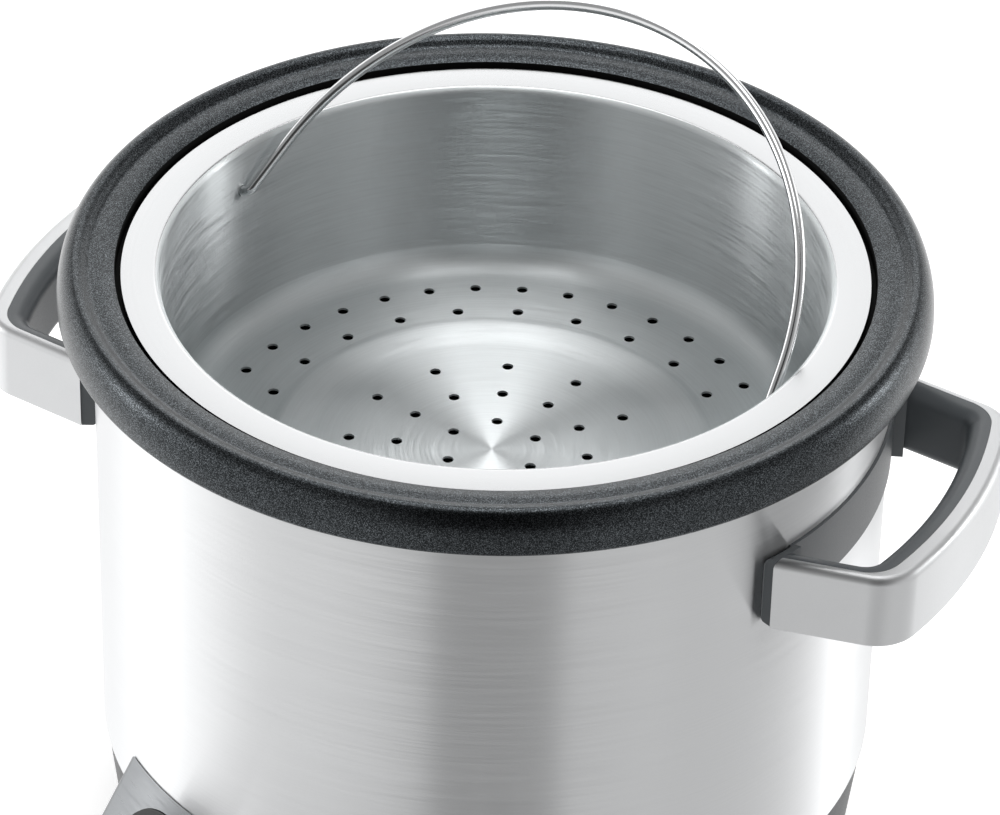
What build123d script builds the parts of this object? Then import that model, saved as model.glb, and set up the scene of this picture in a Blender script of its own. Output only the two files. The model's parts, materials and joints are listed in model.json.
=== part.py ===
"""Multicooker with a steam basket: a round brushed-steel body on a dark moulded base, two loop
handles, a lift-out non-stick bowl, a perforated basket with a wire bail, and a flared control
panel low on the front.

The frame: +Z is up, the front with its panel faces -Y, and the origin is on the pot's axis at
the height of the table. Lengths are millimetres and angles are degrees.
"""

import os
from math import cos, degrees, radians, sin, sqrt, tan

from build123d import *

os.makedirs("parts", exist_ok=True)

# Clearances
gap = 0.3  # between pieces that lift, slide or turn past each other
fit = 0.05  # radial play of a shaft or a pin in its hole
seat = 0.1  # play between fixed pieces
overrun = 2.0  # how far a cutting solid passes the face that it cuts

# Body of steel sheet on a moulded base
body_radius = 140.5
shell_sheet = 0.8
shell_curl = 1.6  # the sheet's lower edge turns in by this much
shell_foot_height = 52.0
foot_height = 4.0
foot_radius = 9.0
foot_round = 0.8
foot_stem_radius = 3.0
foot_stem_length = 8.0
base_taper = 5.4  # how much the base narrows down to the table
base_step = 0.6  # the base stands back from the sheet above it
base_wall = 2.5
base_edge_round = 3.0
spigot_height = 8.0  # the base's upper rim stands this far inside the sheet

# Steam basket, hung in the bowl by its flange
flange_height = 240.0  # top face of the flange above the table
basket_sheet = 0.9
basket_inset = 23.2  # from the body's face in to the basket's bore
basket_flange_width = 12.7
basket_depth = 77.6  # down to the middle of the perforated floor
floor_step = 1.3  # the outer floor lies this much above the middle
step_crest = 0.6  # height of the step's inner, gentler slope
step_shares = (0.491, 0.6053, 0.6564)  # inner, crest and outer radius of the step, of the bore's
flange_bend = 3.0
floor_bend = 8.0
steam_hole_radius = 2.0
steam_ring_angle = 18.2
steam_ring_shares = (0.85, 0.723, 0.438, 0.2916, 0.145)  # of the bore's radius
steam_hole_counts = (36, 24, 12, 12, 6)
steam_ring_turns = (0, 0, 0, 0, 30)

# Wire bail of the basket
wire_radius = 1.9
bail_play = 5.3  # from the bore in to the arch's widest place
bail_rise = 3.0  # of the arch's centre above the pivots' axis
bail_splay = 9.8  # how far the legs spread towards the pivots
bail_bend = 3.7
bail_drop = 17.2  # pivots below the flange
bail_azimuth = -13.94  # of the right pivot, seen from above
bail_lean = 41.5  # of the arch above the level, leaning back
pivot_head_radius = 2.7
pivot_head_length = 1.2

# Bowl with its broad rim
bowl_clearance = 6.9  # from the basket's bore to the bowl's wall
ledge_width = 9.6
ledge_sheet = 3.0
ledge_round = 1.2
bowl_wall = 2.5
bowl_floor = 3.0
bowl_draft = 4.5
bowl_corner = 20.0
water_depth = 44.4  # from the basket's floor down to the bowl's floor
rim_wall = 3.0
rim_lip_rise = 3.7  # inner lip above the flange
rim_lip_round = 0.8
rim_band_width = 8.2
rim_band_swell = 1.1
rim_crest_rise = 5.2
rim_bead_radius = 5.8
rim_overhang = 12.3  # beyond the body
rim_skirt = 10.2  # below the flange
rim_skirt_round = 2.0
rim_underside_drop = 1.0

# Collar between the body and the bowl
collar_play = 0.5
collar_sheet = 3.0
collar_overhang = 6.5
collar_round = 1.0
collar_depth = 15.7
shelf_sheet = 2.5

# Well, heater plate and what they carry
well_inset = 6.5  # the well's wall stands this far inside the body's face
well_sheet = 0.7
well_corner = 6.0
heater_inset = 30.0  # from the well's wall in to the heater
well_mouth_inset = 14.0  # from the heater's edge in to the well's mouth
heater_sheet = 6.0
heater_round = 1.0
element_inset = 29.0  # from the heater's edge
element_radius = 4.1
element_boss_width = 12.0
element_boss_height = 6.2
element_drop = 4.7  # of the tube's middle below the plate
element_gap_angle = 30.0
terminal_angle = 3.0  # of a terminal past the ring's end
element_direction = 90.0
terminal_radius = 2.2
terminal_length = 9.0
heater_bolt_inset = 7.0  # from the heater's edge
heater_bolt_count = 3
heater_bolt_start = 30
heater_bolt_bite = 3.5

# Temperature sensor in the heater's middle
sensor_radius = 13.0
sensor_sheet = 3.0
sensor_skirt = 6.5
sensor_skirt_wall = 1.2
sensor_round = 0.8
sensor_stem_radius = 3.0
sensor_stem_length = 20.0
guide_wall = 1.2
guide_depth = 13.0
guide_flange_width = 4.0
spring_radius = 7.6
spring_wire = 0.5
spring_turns = 3

# Supports in the base
post_inset = 22.5  # from the body's face in to the posts and feet
post_count = 4
post_start = 45
boss_radius = 6.0
boss_height = 36.0
post_radius = 6.0
post_neck_radius = 4.0
post_neck_length = 8.0
shield_clearance = 3.2  # under the element's terminals
shield_sheet = 0.7
shield_margin = 8.0
shield_lip = 6.0
cover_inset = 7.3  # from the posts' circle in to the cover's edge
cover_sheet = 2.2
cover_bolt_inset = 5.7  # from the cover's edge
cover_bolt_count = 4
cover_boss_radius = 4.0
cover_boss_height = 8.0
floor_ring_sheet = 2.5
vent_inset = 26.7  # from the cover's edge
vent_length = 16.0
vent_width = 3.0
vent_count = 20

# Screws
corner_counts = (2, 2)  # one at each corner of a board
screw_radius = 1.75
screw_head_radius = 3.2
screw_head = 2.2
screw_length = 14.0

# Handles: a metal cover round a moulded frame
handle_top_drop = 41.4  # below the flange
handle_height = 28.3
handle_reach = 42.4  # of the bar's outer face beyond the body
handle_cover_bar = 6.9
handle_frame_bar = 7.8
handle_cover_arm = 3.6
handle_frame_arm = 6.5
handle_width_share = 0.4235  # half the width over the arms, of the body's radius
handle_width_distance = 9.0  # beyond the body, where that width is measured
handle_slope = 9.335  # the arms close in towards the bar
handle_corner = 17.0
handle_seam_corner = 13.0
handle_opening_corner = 6.0
handle_top_round = 3.0
handle_lower_round = 0.8
handle_frame_round = 5.6
handle_plate = 1.2  # thickness of the frame's plate on the body
handle_plate_drop = 2.1
handle_pad = 5.5  # thickness of the frame's pads under the arms' ends
handle_pad_outer_angle = 24.9
handle_pad_inner_angle = 20.1
handle_pad_round = 5.0  # along the pads' top edge on the body
handle_pad_lower_round = 1.5
handle_screw_angle = 21.4
handle_screw_spacing = 11.0
handle_screw_length = 9.0

# Control panel, flared out from the body
panel_rise = 18.5  # of the panel's top above the sheet's foot
panel_slope_length = 52.0
panel_tilt = 28.4
panel_half_angle = 39.7
panel_sheet = 1.0
panel_corner = 3.6
panel_wall = 2.0
panel_stand_off = 0.4  # between the panel and the body
panel_screw_angle = 33.0
panel_screw_height = 36.0
panel_boss_radius = 4.5
panel_window_width = 70.0
panel_window_height = 22.0
dial_angle = 26.9  # of the dials, to each side of the front
dial_slope = 24.5
dial_hole_radius = 18.2
panel_cut_depth = 4.0  # of the round openings below the panel's face
bezel_radius = 18.0
bezel_bore_radius = 15.0
bezel_dish_wall = 1.0
bezel_rise = 0.3
bezel_depth = 2.6
bezel_floor = 1.4
bezel_round = 0.3
dial_radius = 14.6
dial_rise = 9.0
dial_round = 1.4
dial_shaft_radius = 3.0
dial_shaft_bite = 3.0
dial_notch_width = 1.4
dial_notch_length = 6.0
dial_notch_depth = 0.6
encoder_width = 11.0
encoder_height = 4.4
display_slope = 22.5
display_width = 56.0
display_height = 15.0
display_corner = 2.0
window_cut_depth = 5.0  # past the bow of the panel across the window
display_ledge = 3.0
module_width = 42.0
module_height = 12.0
module_depth = 4.9  # of its front below the panel's face
board_slope = 32.5
board_width = 56.0
board_height = 24.0
board_depth = 8.0  # below the panel's face
board_sheet = 1.6
board_post_radius = 2.2
board_post_inset = 4.0
board_post_depth = 3.5
button_slope = 36.8
button_spacing = 22.0
button_radius = 4.5
button_rise = 0.9
button_round = 0.5
button_travel = 1.0
button_flange_width = 1.5
button_flange_depth = 4.3
button_flange = 1.0
switch_width = 6.0

# Power inlet behind the base
inlet_width = 24.0
inlet_height = 16.0
inlet_depth = 17.0
inlet_wall = 1.6
inlet_chamfer = 3.5
inlet_drop = 25.0  # of the inlet's middle below the sheet's foot
inlet_pin_spacing = 7.0
inlet_pin_width = 2.0
inlet_pin_height = 4.0
inlet_pin_length = 11.0
inlet_pin_offset = 2.0  # the middle pin sits this much higher than the outer two
inlet_tab_length = 6.0
inlet_back_wall = 2.0
inlet_housing_wall = 4.5
inlet_housing_corner = 4.0
inlet_housing_edge = 1.0
inlet_window_margin = 3.0
inlet_screw_offset = 13.2

# Power board on the bottom cover
power_board_length = 104.0
power_board_width = 66.0
power_board_sheet = 1.6
standoff_height = 5.8
standoff_radius = 3.0
standoff_inset = 5.0
board_screw_length = 5.0
transformer_size = (30.0, 26.0, 22.0)
transformer_place = (-30.0, 12.0)
relay_size = (19.0, 15.0, 15.0)
relay_place = (8.0, -18.0)
terminal_size = (26.0, 12.0, 11.0)
terminal_place = (16.0, 24.0)
capacitor_radius = 7.0
capacitor_height = 22.0
capacitor_place = (38.0, -4.0)

# Thermal fuse under the heater plate
fuse_share = 0.525  # of the way from the sensor's guide to the element's boss
fuse_radius = 2.2
fuse_length = 16.0
fuse_lead_radius = 0.6
fuse_lead_length = 8.0
clip_sheet = 0.8
clip_width = 6.0
clip_tab = 8.0

# Radii that follow from the sizes above
shell_inner_radius = body_radius - shell_sheet
spigot_radius = shell_inner_radius - shell_curl - seat
base_top_radius = body_radius - base_step
base_foot_radius = base_top_radius - base_taper
rim_radius = body_radius + rim_overhang
basket_bore_radius = body_radius - basket_inset
step_inner_radius, step_crest_radius, step_outer_radius = (
    share * basket_bore_radius for share in step_shares
)
bail_arch_radius = basket_bore_radius - bail_play
bail_height = bail_arch_radius + bail_rise
basket_flange_radius = basket_bore_radius + basket_flange_width
bowl_radius = basket_bore_radius + bowl_clearance
bowl_foot_radius = bowl_radius - bowl_draft
mouth_radius = bowl_radius + ledge_width
riser_radius = mouth_radius + rim_wall
collar_bore_radius = riser_radius + collar_play
collar_wall_radius = shell_inner_radius - seat
well_radius = body_radius - well_inset
heater_radius = well_radius - heater_inset
well_mouth_radius = heater_radius - well_mouth_inset
element_ring_radius = heater_radius - element_inset
heater_bolt_circle = heater_radius - heater_bolt_inset
post_circle = body_radius - post_inset
cover_radius = post_circle - cover_inset
cover_bolt_circle = cover_radius - cover_bolt_inset
vent_circle = cover_radius - vent_inset
handle_bar_radius = body_radius + handle_reach
handle_half_width = handle_width_share * body_radius
handle_width_reach = body_radius + handle_width_distance
panel_top_radius = body_radius + panel_stand_off

# Heights that follow from the sizes above
ledge_height = flange_height - basket_sheet - gap
rim_underside = flange_height - rim_underside_drop
collar_height = rim_underside - gap
shell_top_height = collar_height - collar_sheet
shelf_height = shell_top_height - collar_depth
pivot_height = flange_height - bail_drop
bowl_floor_height = flange_height - basket_depth - water_depth
bowl_foot_height = bowl_floor_height - bowl_floor
heater_height = bowl_foot_height - gap
heater_underside = heater_height - heater_sheet
well_floor_height = heater_underside - well_sheet
element_height = heater_underside - element_drop
terminal_foot_height = element_height - element_radius - terminal_length
shield_height = terminal_foot_height - shield_clearance - shield_sheet
base_floor_height = foot_height + floor_ring_sheet
cover_top_height = foot_height + cover_sheet
boss_top_height = base_floor_height + boss_height
handle_top_height = flange_height - handle_top_drop
handle_foot_height = handle_top_height - handle_height
handle_middle_height = handle_top_height - handle_height / 2
panel_top_height = shell_foot_height + panel_rise
panel_foot_height = panel_top_height - panel_slope_length * cos(radians(panel_tilt))
inlet_centre_height = shell_foot_height - inlet_drop
panel_foot_radius = panel_top_radius + panel_slope_length * sin(radians(panel_tilt))
power_board_height = cover_top_height + standoff_height


def base_radius(height):
    """Outer radius of the tapered base at a height above the table."""
    share = (height - foot_height) / (shell_foot_height - foot_height)
    return base_foot_radius + share * base_taper


def base_inner_radius(height):
    """Inner radius of the base's wall at a height, below its spigot."""
    foot = base_foot_radius - base_wall
    top = spigot_radius - base_wall
    share = (height - base_floor_height) / (shell_foot_height - spigot_height - base_floor_height)
    return foot + share * (top - foot)


def panel_radius(height, depth=0):
    """Radius of the flared panel at a height, or of the cone a depth below its face."""
    tilt = radians(panel_tilt)
    return panel_top_radius + (panel_top_height - height) * tan(tilt) - depth / cos(tilt)


def panel_apex(radius, depth=0):
    """Height where the cone a depth below the panel's face has this radius."""
    tilt = radians(panel_tilt)
    return panel_top_height + (panel_top_radius - depth / cos(tilt) - radius) / tan(tilt)


def half_plane(azimuth):
    """Upright plane through the axis: its x runs outward at this azimuth and its y runs up."""
    turn = radians(azimuth)
    return Plane(origin=(0, 0, 0), x_dir=(cos(turn), sin(turn), 0), z_dir=(sin(turn), -cos(turn), 0))


def outward_plane(azimuth, radius, height, aside=0):
    """Plane square to a radius of the pot: z runs outward, x to the left of that, y up."""
    turn = radians(azimuth)
    place = Vector(radius * cos(turn), radius * sin(turn), height)
    sideways = Vector(-sin(turn), cos(turn), 0)
    return Plane(origin=place + sideways * aside, x_dir=sideways, z_dir=(cos(turn), sin(turn), 0))


def panel_plane(azimuth, slope, depth=0, aside=0):
    """Plane on the flared panel, a distance down its slope and a depth below its face."""
    turn = radians(azimuth)
    tilt = radians(panel_tilt)
    normal = Vector(cos(tilt) * cos(turn), cos(tilt) * sin(turn), sin(tilt))
    sideways = Vector(-sin(turn), cos(turn), 0)
    radius = panel_top_radius + slope * sin(tilt)
    place = Vector(radius * cos(turn), radius * sin(turn), panel_top_height - slope * cos(tilt))
    return Plane(origin=place - normal * depth + sideways * aside, x_dir=sideways, z_dir=normal)


def outline(*corners):
    """Closed face in the current sketch from its corners."""
    Polygon(*corners, align=None)


def round_corners(sketch, *rounds):
    """Round corners of a sketch; each round is the corner's x and y and the radius."""
    for x, y, radius in rounds:
        fillet(sketch.vertices().sort_by_distance((x, y, 0))[0], radius)


def nearest_circle(body, point):
    """Round edge of a part that lies nearest to a point."""
    return body.edges().filter_by(GeomType.CIRCLE).sort_by_distance(point)[0]


def ring_face(edge_radius, hole_radius):
    """Flat ring in the current sketch."""
    Circle(edge_radius)
    Circle(hole_radius, mode=Mode.SUBTRACT)


def screw(plane, length):
    """Screw whose shank runs from the plane along its z, with the head behind the plane."""
    with BuildPart() as body:
        with BuildSketch(plane):
            Circle(screw_radius)
        extrude(amount=length)
        with BuildSketch(plane):
            Circle(screw_head_radius)
        extrude(amount=-screw_head)
    return body.part


def screw_hole(plane, length):
    """Solid to cut a screw's hole from the plane along its z, open behind the plane."""
    with BuildPart() as body:
        with BuildSketch(plane.offset(-overrun)):
            Circle(screw_radius + seat)
        extrude(amount=length + overrun + seat)
    return body.part


def save(body, name):
    """Label a finished piece and write it under its name."""
    body.part.label = name
    export_step(body.part, f"parts/{name}.step")


# Places of the screws
handle_screw_planes = {
    side: [
        outward_plane(facing + turn * handle_screw_angle, shell_inner_radius - seat, height)
        for turn in (-1, 1)
        for height in (
            handle_middle_height - handle_screw_spacing / 2,
            handle_middle_height + handle_screw_spacing / 2,
        )
    ]
    for side, facing in (("right", 0), ("left", 180))
}
panel_screw_radius = base_inner_radius(panel_screw_height - screw_head_radius) - seat
panel_screw_planes = [
    outward_plane(-90 + side * panel_screw_angle, panel_screw_radius, panel_screw_height)
    for side in (-1, 1)
]
inlet_screw_reach = inlet_screw_offset + screw_head_radius
inlet_screw_foot_radius = base_inner_radius(inlet_centre_height - screw_head_radius)
inlet_screw_distance = sqrt(inlet_screw_foot_radius**2 - inlet_screw_reach**2) - seat
inlet_screw_planes = [
    outward_plane(90, inlet_screw_distance, inlet_centre_height, side * inlet_screw_offset)
    for side in (-1, 1)
]

# Outer shell: one drawn sheet, curled in at its foot
with BuildPart() as outer_shell:
    with BuildSketch(half_plane(0)) as shell_section:
        outline(
            (shell_inner_radius, shell_foot_height + shell_sheet),
            (shell_inner_radius - shell_curl, shell_foot_height + shell_sheet),
            (shell_inner_radius - shell_curl, shell_foot_height),
            (body_radius, shell_foot_height),
            (body_radius, shell_top_height),
            (shell_inner_radius, shell_top_height),
        )
        round_corners(shell_section, (body_radius, shell_foot_height, shell_sheet))
    revolve(axis=Axis.Z)
    for plane in handle_screw_planes["left"] + handle_screw_planes["right"]:
        add(screw_hole(plane, handle_screw_length), mode=Mode.SUBTRACT)
save(outer_shell, "outer_shell")

# Base: a tapered moulding with a spigot, a floor ring and bosses
cover_rebate_radius = cover_radius + gap
ledge_over_cover = cover_bolt_circle - cover_boss_radius
with BuildPart() as base_moulding:
    with BuildSketch(half_plane(0)) as base_section:
        outline(
            (cover_rebate_radius, foot_height),
            (base_foot_radius, foot_height),
            (base_top_radius, shell_foot_height - seat),
            (spigot_radius, shell_foot_height - seat),
            (spigot_radius, shell_foot_height + spigot_height),
            (spigot_radius - base_wall, shell_foot_height + spigot_height),
            (spigot_radius - base_wall, shell_foot_height - spigot_height),
            (base_foot_radius - base_wall, base_floor_height),
            (cover_rebate_radius + base_wall, base_floor_height),
            (cover_rebate_radius + base_wall, base_floor_height + cover_sheet),
            (ledge_over_cover, base_floor_height + cover_sheet),
            (ledge_over_cover, cover_top_height),
            (cover_rebate_radius, cover_top_height),
        )
        round_corners(base_section, (base_foot_radius, foot_height, base_edge_round))
    revolve(axis=Axis.Z)
    with BuildSketch(Plane.XY.offset(foot_height)):
        with PolarLocations(post_circle, post_count, start_angle=post_start):
            Circle(boss_radius)
    extrude(amount=floor_ring_sheet + boss_height)
    with BuildSketch(Plane.XY.offset(foot_height - overrun)):
        with PolarLocations(post_circle, post_count, start_angle=post_start):
            Circle(foot_stem_radius + fit)
    extrude(amount=overrun + foot_stem_length + gap, mode=Mode.SUBTRACT)
    with BuildSketch(Plane.XY.offset(boss_top_height + overrun)):
        with PolarLocations(post_circle, post_count, start_angle=post_start):
            Circle(post_neck_radius + fit)
    extrude(amount=-overrun - post_neck_length - gap, mode=Mode.SUBTRACT)
    with BuildSketch(Plane.XY.offset(cover_top_height)):
        with PolarLocations(cover_bolt_circle, cover_bolt_count):
            Circle(cover_boss_radius)
    extrude(amount=cover_boss_height)
    with BuildSketch(Plane.XY.offset(foot_height - overrun)):
        with PolarLocations(cover_bolt_circle, cover_bolt_count):
            Circle(screw_radius + seat)
    extrude(amount=overrun + cover_sheet + cover_boss_height - gap, mode=Mode.SUBTRACT)
    with BuildSketch(outward_plane(90, base_foot_radius, inlet_centre_height)):
        Rectangle(inlet_width - inlet_window_margin, inlet_height - inlet_window_margin)
    extrude(amount=base_taper + base_wall, both=True, mode=Mode.SUBTRACT)
    with BuildSketch(outward_plane(-90, base_foot_radius, panel_screw_height)):
        Rectangle(panel_window_width, panel_window_height)
    extrude(amount=base_taper + base_wall + overrun, both=True, mode=Mode.SUBTRACT)
    for plane in panel_screw_planes + inlet_screw_planes:
        add(screw_hole(plane, screw_length), mode=Mode.SUBTRACT)
save(base_moulding, "base_moulding")

# Bottom cover with radial vents and standoffs for the power board
standoff_grid = (
    power_board_length - 2 * standoff_inset,
    power_board_width - 2 * standoff_inset,
    *corner_counts,
)
with BuildPart() as base_cover:
    with BuildSketch(Plane.XY.offset(foot_height)):
        Circle(cover_radius)
        with PolarLocations(vent_circle, vent_count, start_angle=180 / vent_count):
            SlotOverall(vent_length, vent_width, mode=Mode.SUBTRACT)
        with PolarLocations(cover_bolt_circle, cover_bolt_count):
            Circle(screw_radius + seat, mode=Mode.SUBTRACT)
    extrude(amount=cover_sheet)
    with BuildSketch(Plane.XY.offset(cover_top_height)):
        with GridLocations(*standoff_grid):
            Circle(standoff_radius)
    extrude(amount=standoff_height)
    with BuildSketch(Plane.XY.offset(power_board_height)):
        with GridLocations(*standoff_grid):
            Circle(screw_radius + seat)
    extrude(amount=-standoff_height, mode=Mode.SUBTRACT)
save(base_cover, "base_cover")

# Rubber feet: pads with stems pushed into the base's bosses
with BuildPart() as rubber_feet:
    with BuildSketch():
        with PolarLocations(post_circle, post_count, start_angle=post_start):
            Circle(foot_radius)
    extrude(amount=foot_height)
    fillet(rubber_feet.faces().filter_by(Plane.XY).group_by(Axis.Z)[0].edges(), foot_round)
    with BuildSketch(Plane.XY.offset(foot_height)):
        with PolarLocations(post_circle, post_count, start_angle=post_start):
            Circle(foot_stem_radius)
    extrude(amount=foot_stem_length)
save(rubber_feet, "rubber_feet")

# Screws of the bottom cover, driven from below
with BuildPart() as cover_screws:
    for location in PolarLocations(cover_bolt_circle, cover_bolt_count).local_locations:
        place = Plane(origin=(location.position.X, location.position.Y, foot_height))
        add(screw(place, cover_sheet + cover_boss_height - 2 * gap))
save(cover_screws, "cover_screws")

# Collar: the ring on the shell's top edge that carries the well
collar_reach = body_radius + collar_overhang
with BuildPart() as top_collar:
    with BuildSketch(half_plane(0)) as collar_section:
        outline(
            (collar_bore_radius, collar_height),
            (collar_reach, collar_height),
            (collar_reach, shell_top_height),
            (collar_wall_radius, shell_top_height),
            (collar_wall_radius, shelf_height - shelf_sheet),
            (well_radius + gap, shelf_height - shelf_sheet),
            (well_radius + gap, shelf_height),
            (collar_bore_radius, shelf_height),
        )
        round_corners(collar_section, (collar_reach, collar_height, collar_round))
    revolve(axis=Axis.Z)
save(top_collar, "top_collar")

# Well: the pot of thin sheet that hangs in the collar and holds the heater
well_inner_radius = well_radius - well_sheet
with BuildPart() as inner_well:
    with BuildSketch(half_plane(0)) as well_section:
        outline(
            (collar_bore_radius - gap, shelf_height),
            (well_radius, shelf_height),
            (well_radius, well_floor_height),
            (well_mouth_radius, well_floor_height),
            (well_mouth_radius, heater_underside),
            (well_inner_radius, heater_underside),
            (well_inner_radius, shelf_height + well_sheet),
            (collar_bore_radius - gap, shelf_height + well_sheet),
        )
        round_corners(
            well_section,
            (well_radius, well_floor_height, well_corner),
            (well_inner_radius, heater_underside, well_corner - well_sheet),
        )
    revolve(axis=Axis.Z)
    with BuildSketch(Plane.XY.offset(well_floor_height - overrun)):
        with PolarLocations(heater_bolt_circle, heater_bolt_count, start_angle=heater_bolt_start):
            Circle(screw_radius + seat)
        with PolarLocations(post_circle, post_count, start_angle=post_start):
            Circle(screw_radius + seat)
    extrude(amount=well_sheet + 2 * overrun, mode=Mode.SUBTRACT)
save(inner_well, "inner_well")

# Heater plate: a cast disc with the element's boss underneath and the sensor's bore
element_boss_bottom = heater_underside - element_boss_height
with BuildPart() as heater_plate:
    with BuildSketch(Plane.XY.offset(heater_underside)):
        ring_face(heater_radius, sensor_radius + gap)
    extrude(amount=heater_sheet)
    fillet(heater_plate.faces().sort_by(Axis.Z)[-1].edges().sort_by(SortBy.RADIUS)[-1], heater_round)
    with BuildSketch(Plane.XY.offset(element_boss_bottom)):
        ring_face(
            element_ring_radius + element_boss_width / 2,
            element_ring_radius - element_boss_width / 2,
        )
    extrude(amount=element_boss_height)
    with BuildSketch(half_plane(0)):
        with Locations((element_ring_radius, element_height)):
            Circle(element_radius + fit)
    revolve(axis=Axis.Z, mode=Mode.SUBTRACT)
    with BuildSketch(Plane.XY.offset(heater_underside - overrun)):
        with PolarLocations(heater_bolt_circle, heater_bolt_count, start_angle=heater_bolt_start):
            Circle(screw_radius + seat)
    extrude(amount=overrun + heater_bolt_bite + seat, mode=Mode.SUBTRACT)
save(heater_plate, "heater_plate")

# Heating element: a bent tube with its two terminals turned down
with BuildPart() as heating_element:
    with BuildSketch(half_plane(element_direction + element_gap_angle / 2)):
        with Locations((element_ring_radius, element_height)):
            Circle(element_radius)
    revolve(axis=Axis.Z, revolution_arc=360 - element_gap_angle)
    for side in (-1, 1):
        end = half_plane(element_direction + side * (element_gap_angle / 2 + terminal_angle))
        tip = end.from_local_coords((element_ring_radius, element_height, 0))
        with BuildSketch(Plane(origin=tip)):
            Circle(terminal_radius)
        extrude(amount=-element_radius - terminal_length)
save(heating_element, "heating_element")

# Screws that pull the well's floor against the heater plate
with BuildPart() as heater_screws:
    heater_bolts = PolarLocations(
        heater_bolt_circle, heater_bolt_count, start_angle=heater_bolt_start
    )
    for location in heater_bolts.local_locations:
        place = Plane(origin=(location.position.X, location.position.Y, well_floor_height))
        add(screw(place, well_sheet + heater_bolt_bite))
save(heater_screws, "heater_screws")

# Sensor: a sprung cap that the bowl's foot presses on
guide_floor_height = heater_underside - guide_depth
sensor_underside = heater_height - sensor_sheet
with BuildPart() as sensor_cap:
    with BuildSketch(Plane.XY.offset(heater_height)):
        Circle(sensor_radius)
    extrude(amount=-sensor_skirt)
    fillet(sensor_cap.faces().sort_by(Axis.Z)[-1].edges(), sensor_round)
    with BuildSketch(Plane.XY.offset(sensor_underside)):
        Circle(sensor_radius - sensor_skirt_wall)
    extrude(amount=-sensor_skirt, mode=Mode.SUBTRACT)
    with BuildSketch(Plane.XY.offset(sensor_underside)):
        Circle(sensor_stem_radius)
    extrude(amount=-sensor_stem_length)
save(sensor_cap, "sensor_cap")

with BuildPart() as sensor_guide:
    guide_bore = sensor_radius + gap
    with BuildSketch(Plane.XY.offset(heater_underside)):
        ring_face(guide_bore + guide_wall + guide_flange_width, guide_bore)
    extrude(amount=-guide_wall)
    with BuildSketch(Plane.XY.offset(heater_underside)):
        ring_face(guide_bore + guide_wall, guide_bore)
    extrude(amount=-guide_depth)
    with BuildSketch(Plane.XY.offset(guide_floor_height)):
        ring_face(guide_bore + guide_wall, sensor_stem_radius + fit)
    extrude(amount=guide_wall)
save(sensor_guide, "sensor_guide")

spring_foot_height = guide_floor_height + guide_wall
spring_rise = sensor_underside - spring_foot_height - 2 * spring_wire - 2 * fit
with BuildPart() as sensor_spring:
    with BuildLine():
        spring_line = Helix(
            pitch=spring_rise / spring_turns,
            height=spring_rise,
            radius=spring_radius,
            center=(0, 0, spring_foot_height + spring_wire + fit),
        )
    with BuildSketch(Plane(origin=spring_line @ 0, z_dir=spring_line % 0)):
        RegularPolygon(spring_wire, 6)
    sweep(is_frenet=True)
save(sensor_spring, "sensor_spring")

# Thermal fuse held against the heater plate by a strap
guide_edge = sensor_radius + gap + guide_wall + guide_flange_width
boss_inner_edge = element_ring_radius - element_boss_width / 2
fuse_distance = guide_edge + fuse_share * (boss_inner_edge - guide_edge)
fuse_height = heater_underside - fuse_radius - seat
with BuildPart() as thermal_fuse:
    with BuildSketch(Plane(origin=(-fuse_distance, 0, fuse_height), x_dir=(1, 0, 0), z_dir=(0, 1, 0))):
        Circle(fuse_radius)
    extrude(amount=fuse_length / 2, both=True)
    with BuildSketch(Plane(origin=(-fuse_distance, 0, fuse_height), x_dir=(1, 0, 0), z_dir=(0, 1, 0))):
        Circle(fuse_lead_radius)
    extrude(amount=fuse_length / 2 + fuse_lead_length, both=True)
save(thermal_fuse, "thermal_fuse")

clip_bore = fuse_radius + seat
clip_reach = clip_bore + clip_sheet
clip_plane = Plane(origin=(-fuse_distance, 0, fuse_height), x_dir=(1, 0, 0), z_dir=(0, -1, 0))
clip_roof = heater_underside - fuse_height
with BuildPart() as fuse_clip:
    with BuildSketch(clip_plane):
        Circle(clip_reach)
        with Locations((0, clip_roof - clip_sheet / 2)):
            Rectangle(2 * (clip_reach + clip_tab), clip_sheet)
        Circle(clip_bore, mode=Mode.SUBTRACT)
        with Locations((0, clip_roof / 2)):
            Rectangle(2 * clip_bore, clip_roof, mode=Mode.SUBTRACT)
        with Locations((0, clip_roof + clip_reach / 2)):
            Rectangle(2 * clip_reach, clip_reach, mode=Mode.SUBTRACT)
    extrude(amount=clip_width / 2, both=True)
save(fuse_clip, "fuse_clip")

# Heat shield: a dished disc on the posts' shoulders
shield_radius = shell_inner_radius - shield_margin
sensor_opening = sensor_radius + guide_wall + guide_flange_width
with BuildPart() as heat_shield:
    with BuildSketch(half_plane(0)) as shield_section:
        outline(
            (sensor_opening, shield_height),
            (shield_radius, shield_height),
            (shield_radius, shield_height + shield_lip),
            (shield_radius - shield_sheet, shield_height + shield_lip),
            (shield_radius - shield_sheet, shield_height + shield_sheet),
            (sensor_opening, shield_height + shield_sheet),
        )
        round_corners(
            shield_section,
            (shield_radius, shield_height, 2 * shield_sheet),
            (shield_radius - shield_sheet, shield_height + shield_sheet, shield_sheet),
        )
    revolve(axis=Axis.Z)
    with BuildSketch(Plane.XY.offset(shield_height - overrun)):
        with PolarLocations(post_circle, post_count, start_angle=post_start):
            Circle(post_neck_radius + fit)
    extrude(amount=shield_sheet + 2 * overrun, mode=Mode.SUBTRACT)
save(heat_shield, "heat_shield")

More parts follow.
